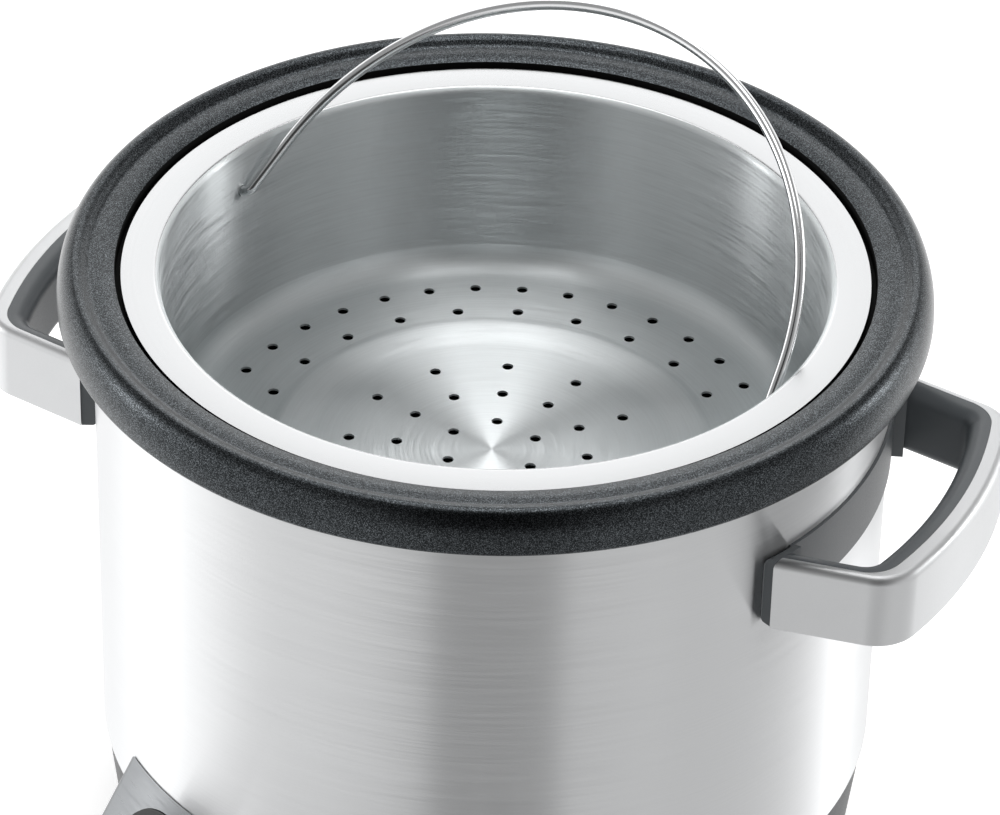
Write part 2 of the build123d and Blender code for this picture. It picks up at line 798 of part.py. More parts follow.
# Posts that carry the well on the base, with a shoulder for the shield
with BuildPart() as support_posts:
    with BuildSketch(Plane.XY.offset(boss_top_height - post_neck_length)):
        with PolarLocations(post_circle, post_count, start_angle=post_start):
            Circle(post_neck_radius)
    extrude(amount=well_floor_height - boss_top_height + post_neck_length)
    with BuildSketch(Plane.XY.offset(boss_top_height)):
        with PolarLocations(post_circle, post_count, start_angle=post_start):
            Circle(post_radius)
    extrude(amount=shield_height - boss_top_height)
    with BuildSketch(Plane.XY.offset(well_floor_height)):
        with PolarLocations(post_circle, post_count, start_angle=post_start):
            Circle(screw_radius + seat)
    extrude(amount=-screw_length - seat, mode=Mode.SUBTRACT)
save(support_posts, "support_posts")

with BuildPart() as post_screws:
    for location in PolarLocations(post_circle, post_count, start_angle=post_start).local_locations:
        place = (location.position.X, location.position.Y, heater_underside)
        add(screw(Plane(origin=place, z_dir=(0, 0, -1)), well_sheet + screw_length))
save(post_screws, "post_screws")

# Cooking bowl: drafted wall, a ledge for the basket and a broad rim that rolls over the collar
lip_height = flange_height + rim_lip_rise
bead_x = rim_radius - rim_bead_radius
bead_y = flange_height + rim_crest_rise - rim_bead_radius
crease_x = mouth_radius + rim_band_width
crease_y = bead_y + sqrt(rim_bead_radius**2 - (bead_x - crease_x) ** 2)
band_y = (lip_height + crease_y) / 2 + rim_band_swell
bead_diagonal = rim_bead_radius * cos(radians(45))
skirt_bottom = flange_height - rim_skirt
ledge_underside = ledge_height - ledge_sheet
with BuildPart() as cooking_bowl:
    with BuildSketch(half_plane(0)) as bowl_section:
        with BuildLine():
            Polyline(
                (bead_x + rim_bead_radius, bead_y),
                (rim_radius, skirt_bottom),
                (rim_radius - rim_wall, skirt_bottom),
                (rim_radius - rim_wall, rim_underside),
                (riser_radius, rim_underside),
                (riser_radius, ledge_underside),
                (bowl_radius + bowl_wall, ledge_underside),
                (bowl_foot_radius + bowl_wall, bowl_foot_height),
                (0, bowl_foot_height),
                (0, bowl_floor_height),
                (bowl_foot_radius, bowl_floor_height),
                (bowl_radius, ledge_height),
                (mouth_radius, ledge_height),
                (mouth_radius, lip_height),
            )
            ThreePointArc(
                (mouth_radius, lip_height),
                ((mouth_radius + crease_x) / 2, band_y),
                (crease_x, crease_y),
            )
            ThreePointArc(
                (crease_x, crease_y),
                (bead_x + bead_diagonal, bead_y + bead_diagonal),
                (bead_x + rim_bead_radius, bead_y),
            )
        make_face()
        round_corners(
            bowl_section,
            (rim_radius, skirt_bottom, rim_skirt_round),
            (mouth_radius, lip_height, rim_lip_round),
            (bowl_radius, ledge_height, ledge_round),
            (bowl_foot_radius, bowl_floor_height, bowl_corner),
            (bowl_foot_radius + bowl_wall, bowl_foot_height, bowl_corner + bowl_wall),
        )
    revolve(axis=Axis.Z)
save(cooking_bowl, "cooking_bowl")

# Steam basket: one drawn sheet with rings of steam holes and two pivot holes
basket_floor_height = flange_height - basket_depth
pivot_hole_radius = wire_radius + fit
with BuildPart() as steam_basket:
    with BuildSketch(half_plane(0)) as basket_section:
        with BuildLine():
            FilletPolyline(
                (basket_flange_radius, flange_height),
                (basket_bore_radius, flange_height),
                (basket_bore_radius, basket_floor_height + floor_step),
                (step_outer_radius, basket_floor_height + floor_step),
                radius=(flange_bend, floor_bend),
            )
            Polyline(
                (step_outer_radius, basket_floor_height + floor_step),
                (step_crest_radius, basket_floor_height + step_crest),
                (step_inner_radius, basket_floor_height),
                (0, basket_floor_height),
            )
            offset(amount=basket_sheet, side=Side.LEFT)
        make_face()
    revolve(axis=Axis.Z)
    for share, hole_count, turn in zip(steam_ring_shares, steam_hole_counts, steam_ring_turns):
        ring_radius = share * basket_bore_radius
        with BuildSketch(Plane.XY.offset(basket_floor_height + floor_step + overrun)):
            with PolarLocations(ring_radius, hole_count, start_angle=steam_ring_angle + turn):
                Circle(steam_hole_radius)
        extrude(amount=-floor_step - basket_sheet - 2 * overrun, mode=Mode.SUBTRACT)
    with BuildSketch(outward_plane(bail_azimuth, 0, pivot_height)):
        Circle(pivot_hole_radius)
    extrude(amount=basket_flange_radius, both=True, mode=Mode.SUBTRACT)
save(steam_basket, "steam_basket")

# Bail: a bent wire whose ends turn out through the basket's wall and are headed there
pivot_turn = radians(bail_azimuth)
pivot_axis = Vector(cos(pivot_turn), sin(pivot_turn), 0)
lean = radians(bail_lean)
bail_up = Vector(-sin(pivot_turn) * cos(lean), cos(pivot_turn) * cos(lean), sin(lean))
bail_plane = Plane(origin=(0, 0, pivot_height), x_dir=pivot_axis, z_dir=pivot_axis.cross(bail_up))
arch_foot_x = bail_arch_radius * cos(radians(bail_splay))
arch_foot_y = bail_rise + bail_arch_radius * sin(radians(bail_splay))
leg_foot_x = arch_foot_x + arch_foot_y * tan(radians(bail_splay))
head_inner_x = basket_bore_radius + basket_sheet + gap
head_outer_x = head_inner_x + pivot_head_length
with BuildPart() as bail_handle:
    with BuildLine(bail_plane):
        FilletPolyline(
            (head_outer_x, 0), (leg_foot_x, 0), (arch_foot_x, arch_foot_y), radius=bail_bend
        )
        ThreePointArc((arch_foot_x, arch_foot_y), (0, bail_height), (-arch_foot_x, arch_foot_y))
        FilletPolyline(
            (-arch_foot_x, arch_foot_y), (-leg_foot_x, 0), (-head_outer_x, 0), radius=bail_bend
        )
    with BuildSketch(outward_plane(bail_azimuth, head_outer_x, pivot_height)):
        Circle(wire_radius)
    sweep()
    for facing in (0, 180):
        with BuildSketch(outward_plane(bail_azimuth + facing, head_inner_x, pivot_height)):
            Circle(pivot_head_radius)
        extrude(amount=pivot_head_length)
save(bail_handle, "bail_handle")


def handle_outline(bar_radius, half_width, corner, play=0):
    """Loop of a handle in the current sketch: two closing arms and a bar round the pot."""
    slope = tan(radians(handle_slope))
    reach = bar_radius - play
    width = half_width - play
    foot = (body_radius / 2, width + slope * (handle_width_reach - body_radius / 2))
    # The arm's line meets the bar's circle where this quadratic has its larger root.
    lift = width + slope * handle_width_reach
    a = 1 + slope**2
    b = slope * lift
    end_x = (b + sqrt(b**2 - a * (lift**2 - reach**2))) / a
    end = (end_x, lift - slope * end_x)
    with BuildSketch(mode=Mode.PRIVATE) as loop:
        with BuildLine():
            Line((foot[0], -foot[1]), (end[0], -end[1]))
            ThreePointArc((end[0], -end[1]), (reach, 0), end)
            Line(end, foot)
            Line(foot, (foot[0], -foot[1]))
        make_face()
        round_corners(loop, (end[0], end[1], corner - play), (end[0], -end[1], corner - play))
    return loop.sketch


handle_loop = handle_outline(handle_bar_radius, handle_half_width, handle_corner)
seam_bar_radius = handle_bar_radius - handle_cover_bar
seam_half_width = handle_half_width - handle_cover_arm
seam_loop = handle_outline(seam_bar_radius, seam_half_width, handle_seam_corner)
frame_loop = handle_outline(seam_bar_radius, seam_half_width, handle_seam_corner, seat)
opening_loop = handle_outline(
    seam_bar_radius - handle_frame_bar, seam_half_width - handle_frame_arm, handle_opening_corner
)
handle_foot_plane = Plane.XY.offset(handle_foot_height)
pad_radius = body_radius + handle_pad
plate_radius = body_radius + seat
plate_foot_height = handle_foot_height + handle_plate_drop
plate_top_height = handle_top_height - handle_plate_drop


def ring_profile(inner, outer, low, high):
    """Outline of a ring between two radii and two heights, in the current half plane."""
    outline((inner, low), (outer, low), (outer, high), (inner, high))


def edge_waste(radius, height, round_radius, side):
    """Waste outside a round on an inner edge at a radius; side is 1 for a top edge, -1 for a foot."""
    middle = height - side * round_radius
    outline(
        (radius - overrun, middle),
        (radius + round_radius, middle),
        (radius + round_radius, height + side * overrun),
        (radius - overrun, height + side * overrun),
    )
    with Locations((radius + round_radius, middle)):
        Circle(round_radius, mode=Mode.SUBTRACT)


def edges_over(part, loop, height):
    """Level edges of a part at a height that lie over a flat loop, apart from its ends."""
    chosen = ShapeList()
    for edge in part.edges():
        middle = edge.position_at(0.5)
        below = Vertex(middle.X, middle.Y, 0)
        on_loop = min(side.distance_to(below) for side in loop.edges()) < seat / 2
        if on_loop and abs(middle.Z - height) < seat / 2:
            chosen.append(edge)
    return chosen


# Metal cover of the right handle
with BuildPart() as handle_cover_right:
    with BuildSketch(handle_foot_plane):
        add(handle_loop)
        add(seam_loop, mode=Mode.SUBTRACT)
        Circle(pad_radius, mode=Mode.SUBTRACT)
    extrude(amount=handle_height)
    fillet(edges_over(handle_cover_right.part, handle_loop, handle_top_height), handle_top_round)
    fillet(edges_over(handle_cover_right.part, handle_loop, handle_foot_height), handle_lower_round)
save(handle_cover_right, "handle_cover_right")

# Moulded frame of the right handle: grip lining, pads and the plate on the body
with BuildPart() as handle_frame_right:
    with BuildSketch(handle_foot_plane):
        add(frame_loop)
        add(opening_loop, mode=Mode.SUBTRACT)
        Circle(plate_radius, mode=Mode.SUBTRACT)
    extrude(amount=handle_height)
    for height in (handle_foot_height, handle_top_height):
        fillet(edges_over(handle_frame_right.part, opening_loop, height), handle_frame_round)
    for angle in (-handle_pad_outer_angle, handle_pad_inner_angle):
        with BuildSketch(half_plane(angle)):
            ring_profile(plate_radius, pad_radius - seat, handle_foot_height, handle_top_height)
        revolve(axis=Axis.Z, revolution_arc=handle_pad_outer_angle - handle_pad_inner_angle)
    with BuildSketch(half_plane(0)):
        edge_waste(plate_radius, handle_top_height, handle_pad_round, 1)
        edge_waste(plate_radius, handle_foot_height, handle_pad_lower_round, -1)
    revolve(axis=Axis.Z, mode=Mode.SUBTRACT)
    with BuildSketch(half_plane(-handle_pad_inner_angle)):
        ring_profile(plate_radius, plate_radius + handle_plate, plate_foot_height, plate_top_height)
    revolve(axis=Axis.Z, revolution_arc=2 * handle_pad_inner_angle)
    for plane in handle_screw_planes["right"]:
        add(screw_hole(plane, handle_screw_length), mode=Mode.SUBTRACT)
save(handle_frame_right, "handle_frame_right")

# The left handle mirrors the right one
with BuildPart() as handle_cover_left:
    add(mirror(handle_cover_right.part, about=Plane.YZ, mode=Mode.PRIVATE))
save(handle_cover_left, "handle_cover_left")

with BuildPart() as handle_frame_left:
    add(mirror(handle_frame_right.part, about=Plane.YZ, mode=Mode.PRIVATE))
save(handle_frame_left, "handle_frame_left")

with BuildPart() as handle_screws:
    for plane in handle_screw_planes["left"] + handle_screw_planes["right"]:
        add(screw(plane, handle_screw_length))
save(handle_screws, "handle_screws")

# Control panel: a sheet bent to a cone, with sides folded back to the body
panel_start = -90 - panel_half_angle
inner_half_angle = panel_half_angle - degrees(panel_sheet / panel_foot_radius)
back_height = shell_foot_height - panel_stand_off
back_radius = base_radius(back_height) + panel_stand_off
steep = 0.5  # an edge that rises by more than this share of its length is slanted


def panel_side_edges(part):
    """The two slanted edges where a wedge's sides meet its cone."""
    return part.edges().filter_by(
        lambda edge: edge.geom_type == GeomType.LINE
        and abs(edge.tangent_at(0.5).Z) > steep
        and sqrt(edge.center().X ** 2 + edge.center().Y ** 2) > panel_top_radius + panel_corner
    )


with BuildPart() as panel_void:
    void_radius = back_radius - base_taper - overrun
    with BuildSketch(half_plane(-90 - inner_half_angle)):
        outline(
            (void_radius, panel_apex(void_radius, panel_sheet)),
            (
                panel_radius(panel_foot_height - overrun, panel_sheet),
                panel_foot_height - overrun,
            ),
            (void_radius, panel_foot_height - overrun),
        )
    revolve(axis=Axis.Z, revolution_arc=2 * inner_half_angle)
    fillet(panel_side_edges(panel_void), panel_corner - panel_sheet)

with BuildPart() as control_panel_plate:
    with BuildSketch(half_plane(panel_start)):
        outline(
            (panel_top_radius, panel_top_height),
            (panel_foot_radius, panel_foot_height),
            (base_radius(panel_foot_height) + panel_stand_off, panel_foot_height),
            (back_radius, back_height),
            (panel_top_radius, back_height),
        )
    revolve(axis=Axis.Z, revolution_arc=2 * panel_half_angle)
    fillet(panel_side_edges(control_panel_plate), panel_corner)
    add(panel_void.part, mode=Mode.SUBTRACT)
    for side in (-1, 1):
        with BuildSketch(panel_plane(-90 + side * dial_angle, dial_slope, -overrun)):
            Circle(dial_hole_radius)
        extrude(amount=-overrun - panel_cut_depth, mode=Mode.SUBTRACT)
    with BuildSketch(panel_plane(-90, display_slope, -overrun)):
        RectangleRounded(display_width, display_height, display_corner)
    extrude(amount=-overrun - window_cut_depth, mode=Mode.SUBTRACT)
    for side in (-1, 1):
        with BuildSketch(panel_plane(-90, button_slope, -overrun, side * button_spacing / 2)):
            Circle(button_radius + gap)
        extrude(amount=-overrun - panel_cut_depth, mode=Mode.SUBTRACT)
save(control_panel_plate, "control_panel_plate")

# Housing behind the panel: front, sides and a bottom lip, open towards the base
housing_depth = panel_sheet + seat
housing_half_angle = inner_half_angle - degrees(2 * seat / panel_top_radius)
cavity_half_angle = housing_half_angle - degrees(panel_wall / panel_top_radius)
lip_top = panel_foot_height - seat
lip_bottom = lip_top - panel_wall
lip_radius = panel_radius(lip_top, panel_sheet / 2)
lip_half_angle = (housing_half_angle + cavity_half_angle) / 2
with BuildPart() as housing_cavity:
    with BuildSketch(half_plane(-90 - cavity_half_angle)):
        outline(
            (void_radius, panel_apex(void_radius, housing_depth + panel_wall)),
            (panel_radius(lip_top, housing_depth + panel_wall), lip_top),
            (void_radius, lip_top),
        )
    revolve(axis=Axis.Z, revolution_arc=2 * cavity_half_angle)

with BuildPart() as housing_lip:
    with BuildSketch(half_plane(-90 - lip_half_angle)):
        outline(
            (lip_radius, lip_top),
            (lip_radius, lip_bottom),
            (base_radius(lip_bottom) + seat, lip_bottom),
            (base_radius(lip_top) + seat, lip_top),
        )
    revolve(axis=Axis.Z, revolution_arc=2 * lip_half_angle)
    fillet(panel_side_edges(housing_lip), panel_corner)

with BuildPart() as panel_housing:
    with BuildSketch(half_plane(-90 - housing_half_angle)):
        outline(
            (panel_top_radius, panel_apex(panel_top_radius, housing_depth)),
            (panel_radius(lip_top, housing_depth), lip_top),
            (base_radius(lip_top) + seat, lip_top),
            (panel_top_radius, back_height),
        )
    revolve(axis=Axis.Z, revolution_arc=2 * housing_half_angle)
    fillet(panel_side_edges(panel_housing), panel_corner - panel_sheet)
    add(housing_lip.part)
    add(housing_cavity.part, mode=Mode.SUBTRACT)
    boss_start = base_radius(panel_screw_height + panel_boss_radius) + seat
    boss_end = panel_radius(panel_screw_height + panel_boss_radius, housing_depth + seat)
    for side in (-1, 1):
        boss_plane = outward_plane(-90 + side * panel_screw_angle, boss_start, panel_screw_height)
        with BuildSketch(boss_plane):
            Circle(panel_boss_radius)
        extrude(amount=boss_end - boss_start)
    with BuildSketch(panel_plane(-90, board_slope, board_depth)):
        with GridLocations(
            board_width - 2 * board_post_inset, board_height - 2 * board_post_inset, *corner_counts
        ):
            Circle(board_post_radius)
    extrude(amount=board_depth - board_post_depth)
    for side in (-1, 1):
        with BuildSketch(panel_plane(-90 + side * dial_angle, dial_slope, -overrun)):
            Circle(bezel_bore_radius + bezel_dish_wall + seat)
        extrude(amount=-overrun - bezel_depth - bezel_floor - gap, mode=Mode.SUBTRACT)
    with BuildSketch(panel_plane(-90, display_slope, -overrun)):
        RectangleRounded(
            display_width - 2 * display_ledge, display_height - 2 * display_ledge, display_corner
        )
    extrude(amount=-overrun - module_depth - seat, mode=Mode.SUBTRACT)
    for side in (-1, 1):
        with BuildSketch(panel_plane(-90, button_slope, -overrun, side * button_spacing / 2)):
            Circle(button_radius + gap)
        extrude(amount=-overrun - button_flange_depth + gap, mode=Mode.SUBTRACT)
    for plane in panel_screw_planes:
        add(screw_hole(plane, screw_length), mode=Mode.SUBTRACT)
save(panel_housing, "panel_housing")

with BuildPart() as panel_screws:
    for plane in panel_screw_planes:
        add(screw(plane, screw_length))
save(panel_screws, "panel_screws")

# Display window: a curved pane in the panel's opening, in front of the housing
window_half_angle = degrees(display_width / panel_top_radius)
with BuildPart() as display_window:
    with BuildSketch(half_plane(-90 - window_half_angle)):
        outline(
            (panel_top_radius, panel_top_height),
            (panel_foot_radius, panel_foot_height),
            (panel_radius(panel_foot_height, panel_sheet), panel_foot_height),
            (panel_top_radius, panel_apex(panel_top_radius, panel_sheet)),
        )
    revolve(axis=Axis.Z, revolution_arc=2 * window_half_angle)
    with BuildSketch(panel_plane(-90, display_slope, -overrun)):
        RectangleRounded(display_width - 2 * seat, display_height - 2 * seat, display_corner - seat)
    extrude(amount=-overrun - window_cut_depth - panel_sheet, mode=Mode.INTERSECT)
save(display_window, "display_window")

# Display module and control board behind the window
with BuildPart() as display_module:
    with BuildSketch(panel_plane(-90, display_slope, module_depth)):
        Rectangle(module_width, module_height)
    extrude(amount=module_depth - board_depth)
save(display_module, "display_module")

with BuildPart() as control_board:
    with BuildSketch(panel_plane(-90, board_slope, board_depth)):
        Rectangle(board_width, board_height)
    extrude(amount=-board_sheet)
save(control_board, "control_board")

switch_depth = button_flange_depth + button_flange + button_travel + gap
with BuildPart() as board_switches:
    for side in (-1, 1):
        switch_plane = panel_plane(-90, button_slope, switch_depth, side * button_spacing / 2)
        with BuildSketch(switch_plane):
            Rectangle(switch_width, switch_width)
        extrude(amount=switch_depth - board_depth)
save(board_switches, "board_switches")


def button(aside):
    """Round push button whose flange sits behind the housing's front."""
    with BuildPart() as body:
        with BuildSketch(panel_plane(-90, button_slope, -button_rise, aside)):
            Circle(button_radius)
        extrude(amount=-button_rise - button_flange_depth)
        top_plane = panel_plane(-90, button_slope, -button_rise, aside)
        fillet(nearest_circle(body, top_plane.origin), button_round)
        with BuildSketch(panel_plane(-90, button_slope, button_flange_depth, aside)):
            Circle(button_radius + button_flange_width)
        extrude(amount=-button_flange)
    return body


save(button(-button_spacing / 2), "start_button")
save(button(button_spacing / 2), "stop_button")


def dial_bezel(azimuth):
    """Dished ring in the panel's opening, with a floor that the dial's shaft passes through."""
    dish_bottom = bezel_depth + bezel_floor
    with BuildPart() as body:
        with BuildSketch(panel_plane(azimuth, dial_slope, -bezel_rise)):
            Circle(bezel_radius)
        extrude(amount=-bezel_rise - panel_sheet)
        rise_plane = panel_plane(azimuth, dial_slope, -bezel_rise)
        fillet(nearest_circle(body, rise_plane.origin), bezel_round)
        with BuildSketch(panel_plane(azimuth, dial_slope, -bezel_rise)):
            Circle(bezel_bore_radius + bezel_dish_wall)
        extrude(amount=-bezel_rise - dish_bottom)
        with BuildSketch(panel_plane(azimuth, dial_slope, bezel_depth)):
            Circle(bezel_bore_radius)
        extrude(amount=bezel_depth + bezel_rise + overrun, mode=Mode.SUBTRACT)
        with BuildSketch(panel_plane(azimuth, dial_slope, -overrun)):
            Circle(dial_shaft_radius + fit)
        extrude(amount=-2 * overrun - dish_bottom, mode=Mode.SUBTRACT)
    return body


def dial(azimuth):
    """Turning knob with a pointer notch and its shaft."""
    shaft_end = bezel_depth + bezel_floor + dial_shaft_bite
    with BuildPart() as body:
        with BuildSketch(panel_plane(azimuth, dial_slope, bezel_depth - gap)):
            Circle(dial_radius)
        extrude(amount=dial_rise + bezel_depth - gap)
        top_plane = panel_plane(azimuth, dial_slope, -dial_rise)
        fillet(nearest_circle(body, top_plane.origin), dial_round)
        with BuildSketch(top_plane):
            with Locations((0, dial_radius - dial_round - dial_notch_length / 2)):
                SlotOverall(dial_notch_length, dial_notch_width, rotation=90)
        extrude(amount=-dial_notch_depth, mode=Mode.SUBTRACT)
        with BuildSketch(panel_plane(azimuth, dial_slope, bezel_depth - gap)):
            Circle(dial_shaft_radius)
        extrude(amount=bezel_depth - gap - shaft_end)
    return body


save(dial_bezel(-90 - dial_angle), "left_dial_bezel")
save(dial_bezel(-90 + dial_angle), "right_dial_bezel")
save(dial(-90 - dial_angle), "programme_dial")
save(dial(-90 + dial_angle), "time_dial")

with BuildPart() as dial_encoders:
    for side in (-1, 1):
        front = panel_plane(-90 + side * dial_angle, dial_slope, bezel_depth + bezel_floor)
        with BuildSketch(front):
            Rectangle(encoder_width, encoder_width)
            Circle(dial_shaft_radius + fit, mode=Mode.SUBTRACT)
        extrude(amount=-encoder_height)
save(dial_encoders, "dial_encoders")

# Shroud of the power inlet, fitted against the tapered base
inlet_face = outward_plane(90, panel_foot_radius, inlet_centre_height)
shroud_width = inlet_width + 2 * inlet_housing_wall
shroud_height = inlet_height + 2 * inlet_housing_wall
socket_width = inlet_width + 2 * inlet_wall
socket_height = inlet_height + 2 * inlet_wall
socket_length = inlet_depth + inlet_back_wall
shroud_depth = panel_foot_radius - base_inner_radius(inlet_centre_height) + overrun
with BuildPart() as base_form:
    with BuildSketch(half_plane(0)):
        outline(
            (0, 0),
            (base_radius(0) + seat, 0),
            (base_radius(shell_foot_height) + seat, shell_foot_height),
            (0, shell_foot_height),
        )
    revolve(axis=Axis.Z)

with BuildPart() as inlet_housing:
    with BuildSketch(inlet_face):
        RectangleRounded(shroud_width, shroud_height, inlet_housing_corner)
    extrude(amount=-shroud_depth)
    fillet(inlet_housing.faces().sort_by(Axis.Y)[-1].edges(), inlet_housing_edge)
    add(base_form.part, mode=Mode.SUBTRACT)
    with BuildSketch(inlet_face):
        Rectangle(socket_width + 2 * seat, socket_height + 2 * seat)
    extrude(amount=-socket_length - seat, mode=Mode.SUBTRACT)
    with BuildSketch(inlet_face):
        Rectangle(inlet_width - inlet_window_margin, inlet_height - inlet_window_margin)
    extrude(amount=-shroud_depth, mode=Mode.SUBTRACT)
    for plane in inlet_screw_planes:
        add(screw_hole(plane, screw_length - gap), mode=Mode.SUBTRACT)
save(inlet_housing, "inlet_housing")

with BuildPart() as inlet_screws:
    for plane in inlet_screw_planes:
        add(screw(plane, inlet_face.origin.Y - socket_length - gap - plane.origin.Y - overrun))
save(inlet_screws, "inlet_screws")

# Socket and its three pins
pin_places = (
    (-inlet_pin_spacing, 0),
    (0, inlet_pin_offset),
    (inlet_pin_spacing, 0),
)
with BuildPart() as power_inlet:
    with BuildSketch(inlet_face):
        Rectangle(socket_width, socket_height)
    extrude(amount=-socket_length)
    with BuildSketch(inlet_face) as socket_mouth:
        Rectangle(inlet_width, inlet_height)
        chamfer(socket_mouth.vertices().group_by(Axis.Y)[-1], inlet_chamfer)
    extrude(amount=-inlet_depth, mode=Mode.SUBTRACT)
    with BuildSketch(inlet_face.offset(-inlet_depth)):
        with Locations(*pin_places):
            Rectangle(inlet_pin_width + 2 * fit, inlet_pin_height + 2 * fit)
    extrude(amount=-inlet_back_wall, mode=Mode.SUBTRACT)
save(power_inlet, "power_inlet")

with BuildPart() as inlet_pins:
    with BuildSketch(inlet_face.offset(inlet_pin_length - inlet_depth)):
        with Locations(*pin_places):
            Rectangle(inlet_pin_width, inlet_pin_height)
    extrude(amount=-inlet_pin_length - inlet_back_wall - inlet_tab_length)
save(inlet_pins, "inlet_pins")

# Power board with its large components
component_height = power_board_height + power_board_sheet
with BuildPart() as power_board:
    with BuildSketch(Plane.XY.offset(power_board_height)):
        Rectangle(power_board_length, power_board_width)
        with GridLocations(*standoff_grid):
            Circle(screw_radius + seat, mode=Mode.SUBTRACT)
    extrude(amount=power_board_sheet)
save(power_board, "power_board")

for name, size, place in (
    ("transformer", transformer_size, transformer_place),
    ("relay", relay_size, relay_place),
    ("terminal_block", terminal_size, terminal_place),
):
    with BuildPart() as component:
        with BuildSketch(Plane.XY.offset(component_height)):
            with Locations(place):
                Rectangle(size[0], size[1])
        extrude(amount=size[2])
    save(component, name)

with BuildPart() as capacitor:
    with BuildSketch(Plane.XY.offset(component_height)):
        with Locations(capacitor_place):
            Circle(capacitor_radius)
    extrude(amount=capacitor_height)
save(capacitor, "capacitor")

with BuildPart() as board_screws:
    for location in GridLocations(*standoff_grid).local_locations:
        place = (location.position.X, location.position.Y, component_height)
        add(screw(Plane(origin=place, z_dir=(0, 0, -1)), board_screw_length))
save(board_screws, "board_screws")
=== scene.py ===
# %% [markdown]
# # A multicooker with its steam basket
#
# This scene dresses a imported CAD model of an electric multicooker: a brushed steel body on a
# dark moulded base, two loop handles, a lift-out bowl with a broad dark rim, and a perforated
# steam basket with a wire bail. The CAD model is the frame. It fixes every size and place, and
# the pieces made here only give it finer surfaces and real finishes.

# %% Load the frame
import json
from math import atan2, ceil, cos, degrees, hypot, pi, radians, sin, tan

import bmesh
import bpy
import numpy as np
from mathutils import Matrix, Vector

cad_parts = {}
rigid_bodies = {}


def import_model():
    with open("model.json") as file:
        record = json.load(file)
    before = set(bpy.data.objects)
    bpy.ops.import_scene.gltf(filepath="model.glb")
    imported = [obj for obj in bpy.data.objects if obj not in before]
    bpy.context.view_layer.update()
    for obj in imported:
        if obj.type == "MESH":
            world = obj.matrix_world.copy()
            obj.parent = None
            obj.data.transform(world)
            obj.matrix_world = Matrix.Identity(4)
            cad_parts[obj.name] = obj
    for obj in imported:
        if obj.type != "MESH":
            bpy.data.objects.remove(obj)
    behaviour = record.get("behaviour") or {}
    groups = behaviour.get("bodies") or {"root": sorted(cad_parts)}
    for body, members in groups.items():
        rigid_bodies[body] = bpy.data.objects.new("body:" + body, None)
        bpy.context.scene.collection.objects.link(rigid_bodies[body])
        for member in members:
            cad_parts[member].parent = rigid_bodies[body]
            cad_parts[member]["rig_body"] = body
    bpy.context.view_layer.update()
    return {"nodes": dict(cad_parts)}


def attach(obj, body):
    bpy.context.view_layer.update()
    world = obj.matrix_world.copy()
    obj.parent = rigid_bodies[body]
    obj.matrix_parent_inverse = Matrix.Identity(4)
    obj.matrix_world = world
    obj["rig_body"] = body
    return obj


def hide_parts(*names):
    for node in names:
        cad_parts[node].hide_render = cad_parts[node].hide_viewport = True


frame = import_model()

MM = 0.001
print("nodes:", len(frame["nodes"]))

# %% [markdown]
# ## Camera
#
# The camera stands in front of the pot, to the right and well above it, with a long lens, so
# the rim is a nearly true ellipse. Its place, direction and lens were solved from the ellipses of
# the rim and flange and from the handles' corners. It leans 1.5 degrees to one side.

# %% Camera
camera_place = Vector((0.606795, -1.371044, 1.254691))
camera_azimuth, camera_pitch, camera_roll = radians(113.776), radians(35.617), radians(1.4857)
camera_lens, sensor_width = 187.271, 36.0

forward = Vector((
    cos(camera_azimuth) * cos(camera_pitch),
    sin(camera_azimuth) * cos(camera_pitch),
    -sin(camera_pitch),
))
level_right = Vector((sin(camera_azimuth), -cos(camera_azimuth), 0))
level_up = level_right.cross(forward)
right = level_right * cos(camera_roll) + level_up * sin(camera_roll)
up = right.cross(forward)

camera_data = bpy.data.cameras.new("camera")
camera_data.lens = camera_lens
camera_data.sensor_width = sensor_width
camera_data.sensor_fit = "HORIZONTAL"
camera_data.clip_end = 50
camera = bpy.data.objects.new("camera", camera_data)
camera_axes = Matrix((right, up, -forward)).transposed().to_4x4()
camera.matrix_world = Matrix.Translation(camera_place) @ camera_axes
bpy.context.scene.collection.objects.link(camera)
bpy.context.scene.camera = camera
print("camera stands", round(camera_place.length, 2), "m from the foot of the pot")

# %% [markdown]
# ## Helpers for node trees
#
# Materials, the world and the Geometry Nodes trees are all node trees. One small function adds
# a node, sets its properties and fills its inputs, either with plain values or with links.
# Colours are written as the usual sRGB hex values and turned to linear light once.

# %% Node and colour helpers
def add_node(tree, kind, inputs=None, **settings):
    """Add a node with its settings; an input that is a socket is linked, anything else is set."""
    node = tree.nodes.new(kind)
    for name, value in settings.items():
        setattr(node, name, value)
    for name, value in (inputs or {}).items():
        if isinstance(value, bpy.types.NodeSocket):
            tree.links.new(value, node.inputs[name])
        else:
            node.inputs[name].default_value = value
    return node


def linear(code):
    """Linear RGBA of an sRGB hex colour such as #c8c9ca."""
    channels = [int(code[i:i + 2], 16) / 255 for i in (1, 3, 5)]
    return (*(c / 12.92 if c <= 0.04045 else ((c + 0.055) / 1.055) ** 2.4 for c in channels), 1)


def grey(level):
    """Neutral linear RGBA of one brightness."""
    return (level, level, level, 1)


def new_material(name):
    """Empty material with a Principled shader; returns the material, its tree and the shader."""
    material = bpy.data.materials.new(name)
    material.use_nodes = True
    tree = material.node_tree
    tree.nodes.clear()
    shader = add_node(tree, "ShaderNodeBsdfPrincipled")
    add_node(tree, "ShaderNodeOutputMaterial", {"Surface": shader.outputs["BSDF"]})
    return material, tree, shader


def noise_range(tree, noise, low, high):
    """Spread the values that a noise mostly has, 0.3 to 0.7, over a range of one's own."""
    return add_node(tree, "ShaderNodeMapRange", {
        "Value": noise.outputs["Fac"], "From Min": 0.3, "From Max": 0.7,
        "To Min": low, "To Max": high}).outputs[0]


